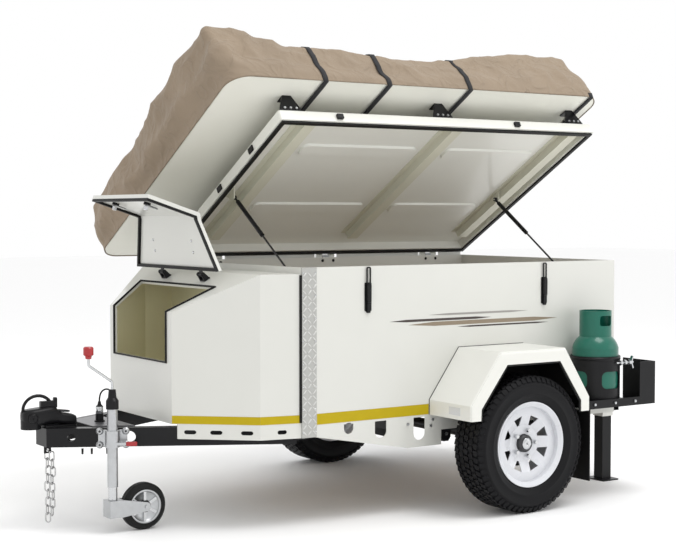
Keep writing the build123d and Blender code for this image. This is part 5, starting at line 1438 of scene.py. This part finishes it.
@dataclass
class Coupling:
    """Casting of the ball coupling with its bosses, latch, lever loop and release ring.

    Args:
        casting: X, half width, bottom and top of each section.
        ring: Points round a section.
        boss: Radius and reach of points on a boss.
        boss_at: Axis of the bosses.
        latch: Centre and size of the latch's blocks.
        lever_at: Middle of the lever's arc.
        lever_reach: Reach of the arc along and up.
        release_at: Middle of the release ring.
        release_reach: Reach of the ring along, across and up.
    """

    casting: tuple[tuple[float, float, float, float], ...] = (
        (-1.5990, 0.016, 0.512, 0.540), (-1.5930, 0.030, 0.498, 0.553), (-1.5800, 0.040, 0.488, 0.560),
        (-1.5500, 0.045, 0.484, 0.563), (-1.5100, 0.045, 0.484, 0.566), (-1.4700, 0.039, 0.486, 0.570),
        (-1.4400, 0.037, 0.486, 0.566), (-1.4300, 0.036, 0.486, 0.548), (-1.4100, 0.040, 0.482, 0.538),
        (-1.3600, 0.043, 0.478, 0.528), (-1.3480, 0.042, 0.478, 0.522),
    )
    ring: int = 28
    boss: tuple[Pair, ...] = ((0.0001, 0.040), (0.0225, 0.040), (0.0220, 0.0515), (0.0170, 0.0555),
                              (0.0001, 0.0565))
    boss_at: Point = (-1.560, 0.0, 0.522)
    latch: tuple[tuple[Point, Point], ...] = (
        ((-1.474, 0.0, 0.577), (0.070, 0.030, 0.034)), ((-1.436, 0.0, 0.584), (0.016, 0.024, 0.048)),
    )
    lever_at: Pair = (-1.5215, 0.557)
    lever_reach: Pair = (0.0705, 0.0630)
    release_at: Pair = (-1.402, 0.5435)
    release_reach: Point = (0.034, 0.019, -0.004)

    def build_casting(self) -> None:
        """Loft the casting through its squared-off sections."""
        rows = []
        for x, half, low, high in self.casting:
            row = []
            for step in range(self.ring):
                turn = 2 * math.pi * step / self.ring
                reach = (abs(math.cos(turn)) ** 4 + abs(math.sin(turn)) ** 4) ** -0.25
                z = (low + high) / 2 + (high - low) / 2 * reach * math.sin(turn)
                row.append((x, half * reach * math.cos(turn), z))
            rows.append(row)
        points, faces = skin(rows, ring=True)
        faces.append(list(range(self.ring)))
        faces.append(list(range(len(points) - self.ring, len(points))))
        casting = mesh_piece("coupling_casting", (points, faces), BLACK_PAINT, smooth=True)
        settle(casting, "chassis")

    def build_bosses(self) -> None:
        """Set a round boss on each side of the casting."""
        for name, out in FACES.items():
            profile = [(radius, out * reach) for radius, reach in self.boss]
            boss = lathe(f"coupling_boss_{name}", profile, self.boss_at, BLACK_PAINT, steps=40)
            settle(boss, "chassis")

    def build_latch(self) -> None:
        """Add the latch, the lever's loop over it and the release ring behind."""
        latch = mesh_piece("coupling_latch", merged(box(*block) for block in self.latch), BLACK_PLASTIC)
        settle(soften(latch, 0.005, 3), "chassis")
        x, z = self.lever_at
        along, up = self.lever_reach
        turns = [math.radians(196 - 13 * step) for step in range(15)]
        arc = [(x + along * math.cos(turn), 0.0, z + up * math.sin(turn)) for turn in turns]
        lever = settle(tube("coupling_lever", arc, 0.0078, BLACK_PLASTIC), "chassis")
        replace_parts(lever, "coupling_handle")
        x, z = self.release_at
        along, across, up = self.release_reach
        turns = [2 * math.pi * step / 24 for step in range(24)]
        oval = [(x + along * math.cos(turn), across * math.sin(turn), z + up * math.cos(turn))
                for turn in turns]
        release = tube("coupling_release", oval, 0.0042, BLACK_PLASTIC, closed=True)
        settle(release, "chassis")

    def build(self) -> None:
        """Build the coupling's pieces."""
        self.build_casting()
        self.build_bosses()
        self.build_latch()


@dataclass
class Drawbar:
    """Plug and lead on the drawbar, the studs under its arm and the safety chain.

    Args:
        plug: X and Y of the plug.
        sleeve: Radius and height of points on the plug's bright sleeve.
        lead_width: Diameter of the lead.
        lead_length: Not used.
        route: Points of the lead's route.
        arm_tip: Foot of the near arm's tip.
        stud_runs: Distance of each stud along the arm.
        strands: Name, X, Y, top and links of each strand of the chain.
        link_pitch: Drop from one link to the next.
    """

    plug: Pair = (-1.215, 0.0)
    sleeve: tuple[Pair, ...] = ((0.0171, 0.516), (0.0182, 0.517), (0.0182, 0.548), (0.0171, 0.549))
    lead_width: float = 0.008
    lead_length: float = 0.230
    route: tuple[Point, ...] = (
        (-1.215, 0.0, 0.572), (-1.215, 0.0, 0.606), (-1.189, -0.004, 0.632), (-1.157, -0.008, 0.622),
        (-1.145, -0.011, 0.588), (-1.147, -0.013, 0.551), (-1.150, -0.012, 0.516), (-1.150, -0.012, 0.490),
    )
    arm_tip: Point = (-1.485, -0.045, 0.378)
    stud_runs: tuple[float, ...] = (0.150, 0.192, 0.262)
    strands: tuple[tuple[str, float, float, float, int], ...] = (
        ("near", -1.475, 0.0, 0.344, 9), ("far", -1.457, -0.012, 0.338, 8),
    )
    link_pitch: float = 0.0362

    def build_lead(self) -> None:
        """Lay the plug's lead as one smooth curve along its route."""
        lead = wire("plug_cable", self.route, self.lead_width / 2, "NURBS")
        lead.data.bevel_resolution = 4
        spline = lead.data.splines[0]
        spline.order_u = 3
        spline.use_endpoint_u = True
        spline.resolution_u = 12
        lead.data.materials.append(RUBBER.material())
        settle(lead, "chassis")
        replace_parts(lead, "plug_lead")

    def build_plug_sleeve(self) -> None:
        """Slip a bright sleeve over the plug's middle."""
        sleeve = lathe("plug_sleeve", self.sleeve, (*self.plug, 0.0), STEEL, upright=True, steps=40)
        settle(sleeve, "chassis")

    def build_studs(self) -> None:
        """Set the studs under the near arm."""
        studs = [facing(Vector(self.arm_tip) + ARM_RUN * run, (0, 0, -1)) for run in self.stud_runs]
        Scatter("arm_studs", Shape.HEX, BLACK_PAINT, 0.0055, 0.0260).spread(studs, "chassis", "zinc")

    def build_chain(self) -> None:
        """Hang the safety chain in two strands of round links."""
        for name, x, y, top, count in self.strands:
            places = []
            for index in range(count):
                quarter = math.pi / 4 + (math.pi / 2 if index % 2 == 0 else 0.0)
                sway = 0.003 * math.sin(1.9 * index + 40.0 * x)
                at = (x + sway, y, top - self.link_pitch * index)
                places.append(Placed(at, (math.pi / 2, 0.0, quarter)))
            links = Scatter(f"safety_chain_{name}", Shape.LINK, CHAIN_STEEL, 0.023, 0.0031, 0.045)
            strand = links.spread(places, "chassis", "zinc")
            if name == "near":
                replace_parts(strand, "safety_chain")

    def build(self) -> None:
        """Build the drawbar's small fittings."""
        self.build_lead()
        self.build_plug_sleeve()
        self.build_studs()
        self.build_chain()


@dataclass
class JockeyJack:
    """Clamp lobes and bolts of the jack, and the bright discs of its wheel.

    Args:
        post: X and Y of the jack's tube.
        clamp_reach: Distance from the tube's axis to the arm.
        lobe_shift: Distance of the clamp's lobes from its middle.
        lobe_heights: Heights of the lobes.
        axle: Middle of the wheel.
        disc: Radius and reach of points on a disc.
        spoke_r: Radius at the spokes' middle.
        spoke_reach: Distance of the spokes from the wheel's middle.
    """

    post: Pair = (-1.258, -0.235)
    clamp_reach: float = 0.0354
    lobe_shift: float = 0.059
    lobe_heights: Pair = (0.399, 0.461)
    axle: Point = (-1.108, -0.235, 0.108)
    disc: tuple[Pair, ...] = (
        (0.0265, 0.0165), (0.0300, 0.0178), (0.0640, 0.0178), (0.0690, 0.0285), (0.0710, 0.0308),
        (0.0775, 0.0308), (0.0785, 0.0296), (0.0705, 0.0245), (0.0660, 0.0165),
    )
    spoke_r: float = 0.047
    spoke_reach: float = 0.0205

    def build_clamp(self) -> None:
        """Set a lobe and a bolt in each corner of the clamp."""
        face = Vector((*self.post, 0)) + ARM_INWARD * (self.clamp_reach - 0.008)
        lobes, bolts = [], []
        for shift in (-self.lobe_shift, self.lobe_shift):
            for height in self.lobe_heights:
                place = face + ARM_RUN * shift + Vector((0, 0, height))
                lobes.append(facing(place - ARM_INWARD * 0.001, -ARM_INWARD))
                bolts.append(facing(place - ARM_INWARD * 0.006, -ARM_INWARD))
        Scatter("clamp_lobes", Shape.DOME, ZINC, 0.0175, 0.0080).spread(lobes, "chassis", "zinc")
        Scatter("clamp_bolts", Shape.HEX, HUB_DARK, 0.0065, 0.0070).spread(bolts, "chassis", "zinc")

    def build_discs(self) -> None:
        """Face the wheel's rim with bright discs and spokes."""
        for name, out in FACES.items():
            profile = [(radius, out * reach) for radius, reach in self.disc]
            disc = lathe(f"jockey_disc_{name}", profile, self.axle, ZINC, steps=48)
            settle(disc, "jockey_wheel")
            spokes = []
            for step in range(6):
                turn = math.pi * step / 3
                at = round_axle(self.axle, self.spoke_r, out * self.spoke_reach, turn)
                spokes.append(Placed(at, (0.0, turn, 0.0)))
            star = Scatter(f"jockey_spokes_{name}", Shape.BLOCK, STEEL, 0.013, 0.042, 0.0065)
            star.spread(spokes, "jockey_wheel", "rim_paint")

    def build(self) -> None:
        """Build the jack's small fittings."""
        self.build_clamp()
        self.build_discs()


@dataclass
class BottleHolder:
    """Band round the gas bottle's holder and the screw that closes it.

    Args:
        bottle: X and Y of the bottle.
        band: Radius and height of the band's corners.
        screw: Start of the screw, which points to the rear.
        screw_length: Length of the screw.
    """

    bottle: Pair = (1.195, -0.790)
    band: tuple[Pair, ...] = ((0.1262, 0.706), (0.1282, 0.706), (0.1282, 0.722), (0.1262, 0.722))
    screw: Point = (1.214, -0.9240, 0.693)
    screw_length: float = 0.116

    def build(self) -> None:
        """Build the band, the screw, its nuts and its wings."""
        band = lathe("bottle_band", self.band, (*self.bottle, 0.0), BLACK_PAINT, upright=True, steps=64)
        settle(band, "chassis")
        x, y, z = self.screw
        nuts = [facing((x + shift, y, z), (1, 0, 0)) for shift in (0.022, 0.052, 0.082)]
        Scatter("bottle_clamp_nuts", Shape.HEX, STEEL, 0.0150, 0.015).spread(nuts, "chassis", "zinc")
        rod = tube("bottle_clamp_rod", [(x, y, z), (x + self.screw_length, y, z)], 0.0052, STEEL)
        settle(rod, "chassis")
        wing_x = x + self.screw_length - 0.010
        wings = [Placed((wing_x, y, z + side * 0.016), (0.0, side * 0.35, 0.0)) for side in (1, -1)]
        wing = Scatter("bottle_clamp_wings", Shape.BLOCK, STEEL, 0.007, 0.032, 0.016)
        wing.spread(wings, "chassis", "zinc")


@dataclass
class Studio:
    """Pale floor, soft lights and the photograph's camera.

    Args:
        eye: Place of the camera.
        yaw: Turn of its view from +Y towards +X.
        pitch: Drop of its view.
        lens: Focal length in millimetres.
        floor: Half size and height of the floor.
        target: Point that the lights face.
        lamps: Name, place, size and power of each light.
    """

    eye: Point = (-4.046, -6.270, 1.450)
    yaw: float = math.radians(33.66)
    pitch: float = math.radians(2.48)
    lens: float = 77.45
    floor: Pair = (40.0, -0.0006)
    target: Point = (0.0, 0.0, 0.8)
    lamps: tuple[tuple[str, Point, float, float], ...] = (
        ("key", (1.2, -2.8, 7.2), 3.2, 210.0),
        ("fill", (6.0, -5.0, 2.5), 4.0, 30.0),
        ("back", (0.5, 6.0, 5.0), 6.0, 60.0),
    )

    def build_camera(self) -> None:
        """Place the camera at the photograph's viewpoint."""
        data = bpy.data.cameras.new("camera")
        data.lens = self.lens
        data.sensor_width = 36.0
        data.clip_end = 200.0
        camera = add_object("camera", data)
        camera.location = self.eye
        flat = math.cos(self.pitch)
        look = Vector((math.sin(self.yaw) * flat, math.cos(self.yaw) * flat, -math.sin(self.pitch)))
        camera.rotation_euler = look.to_track_quat("-Z", "Y").to_euler()
        bpy.context.scene.camera = camera

    def build_floor(self) -> None:
        """Lay the pale floor just under the wheels."""
        half, z = self.floor
        corners = [(-half, -half, z), (half, -half, z), (half, half, z), (-half, half, z)]
        mesh_piece("floor", (corners, [[0, 1, 2, 3]]), STUDIO_FLOOR)

    def build_lights(self) -> None:
        """Hang large soft lights round the trailer and lighten the surroundings."""
        for name, place, size, power in self.lamps:
            data = bpy.data.lights.new(name, "AREA")
            data.energy = power
            data.size = size
            lamp = add_object(name, data)
            lamp.location = place
            lamp.rotation_euler = (Vector(self.target) - Vector(place)).to_track_quat("-Z", "Y").to_euler()
        world = bpy.data.worlds.new("studio")
        world.use_nodes = True
        sky = world.node_tree.nodes["Background"]
        sky.inputs["Color"].default_value = (1.0, 1.0, 1.0, 1.0)
        sky.inputs["Strength"].default_value = 1.0
        bpy.context.scene.world = world
        bpy.context.scene.view_settings.view_transform = "Standard"

    def build(self) -> None:
        """Build the studio."""
        self.build_camera()
        self.build_floor()
        self.build_lights()


def dress_nodes() -> None:
    """Give every CAD node its finish."""
    finishes = {name: finish for finish, names in NODES_OF_FINISH for name in names.split()}
    for name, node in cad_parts.items():
        node.data.materials.clear()
        node.data.materials.append(finishes[name].material())


def main() -> None:
    """Build the studio, dress the CAD nodes and add every piece."""
    logging.basicConfig(level=logging.INFO, format="%(name)s: %(message)s")
    Studio().build()
    dress_nodes()
    Drawbar().build()
    Coupling().build()
    JockeyJack().build()
    BottleHolder().build()
    TentCover().build()
    for side in SIDES:
        Wheel(side).build()
    BodySides().build()
    NoseLocker().build()
    Fenders().build()
    LidHardware().build()


if __name__ == "__main__":
    main()
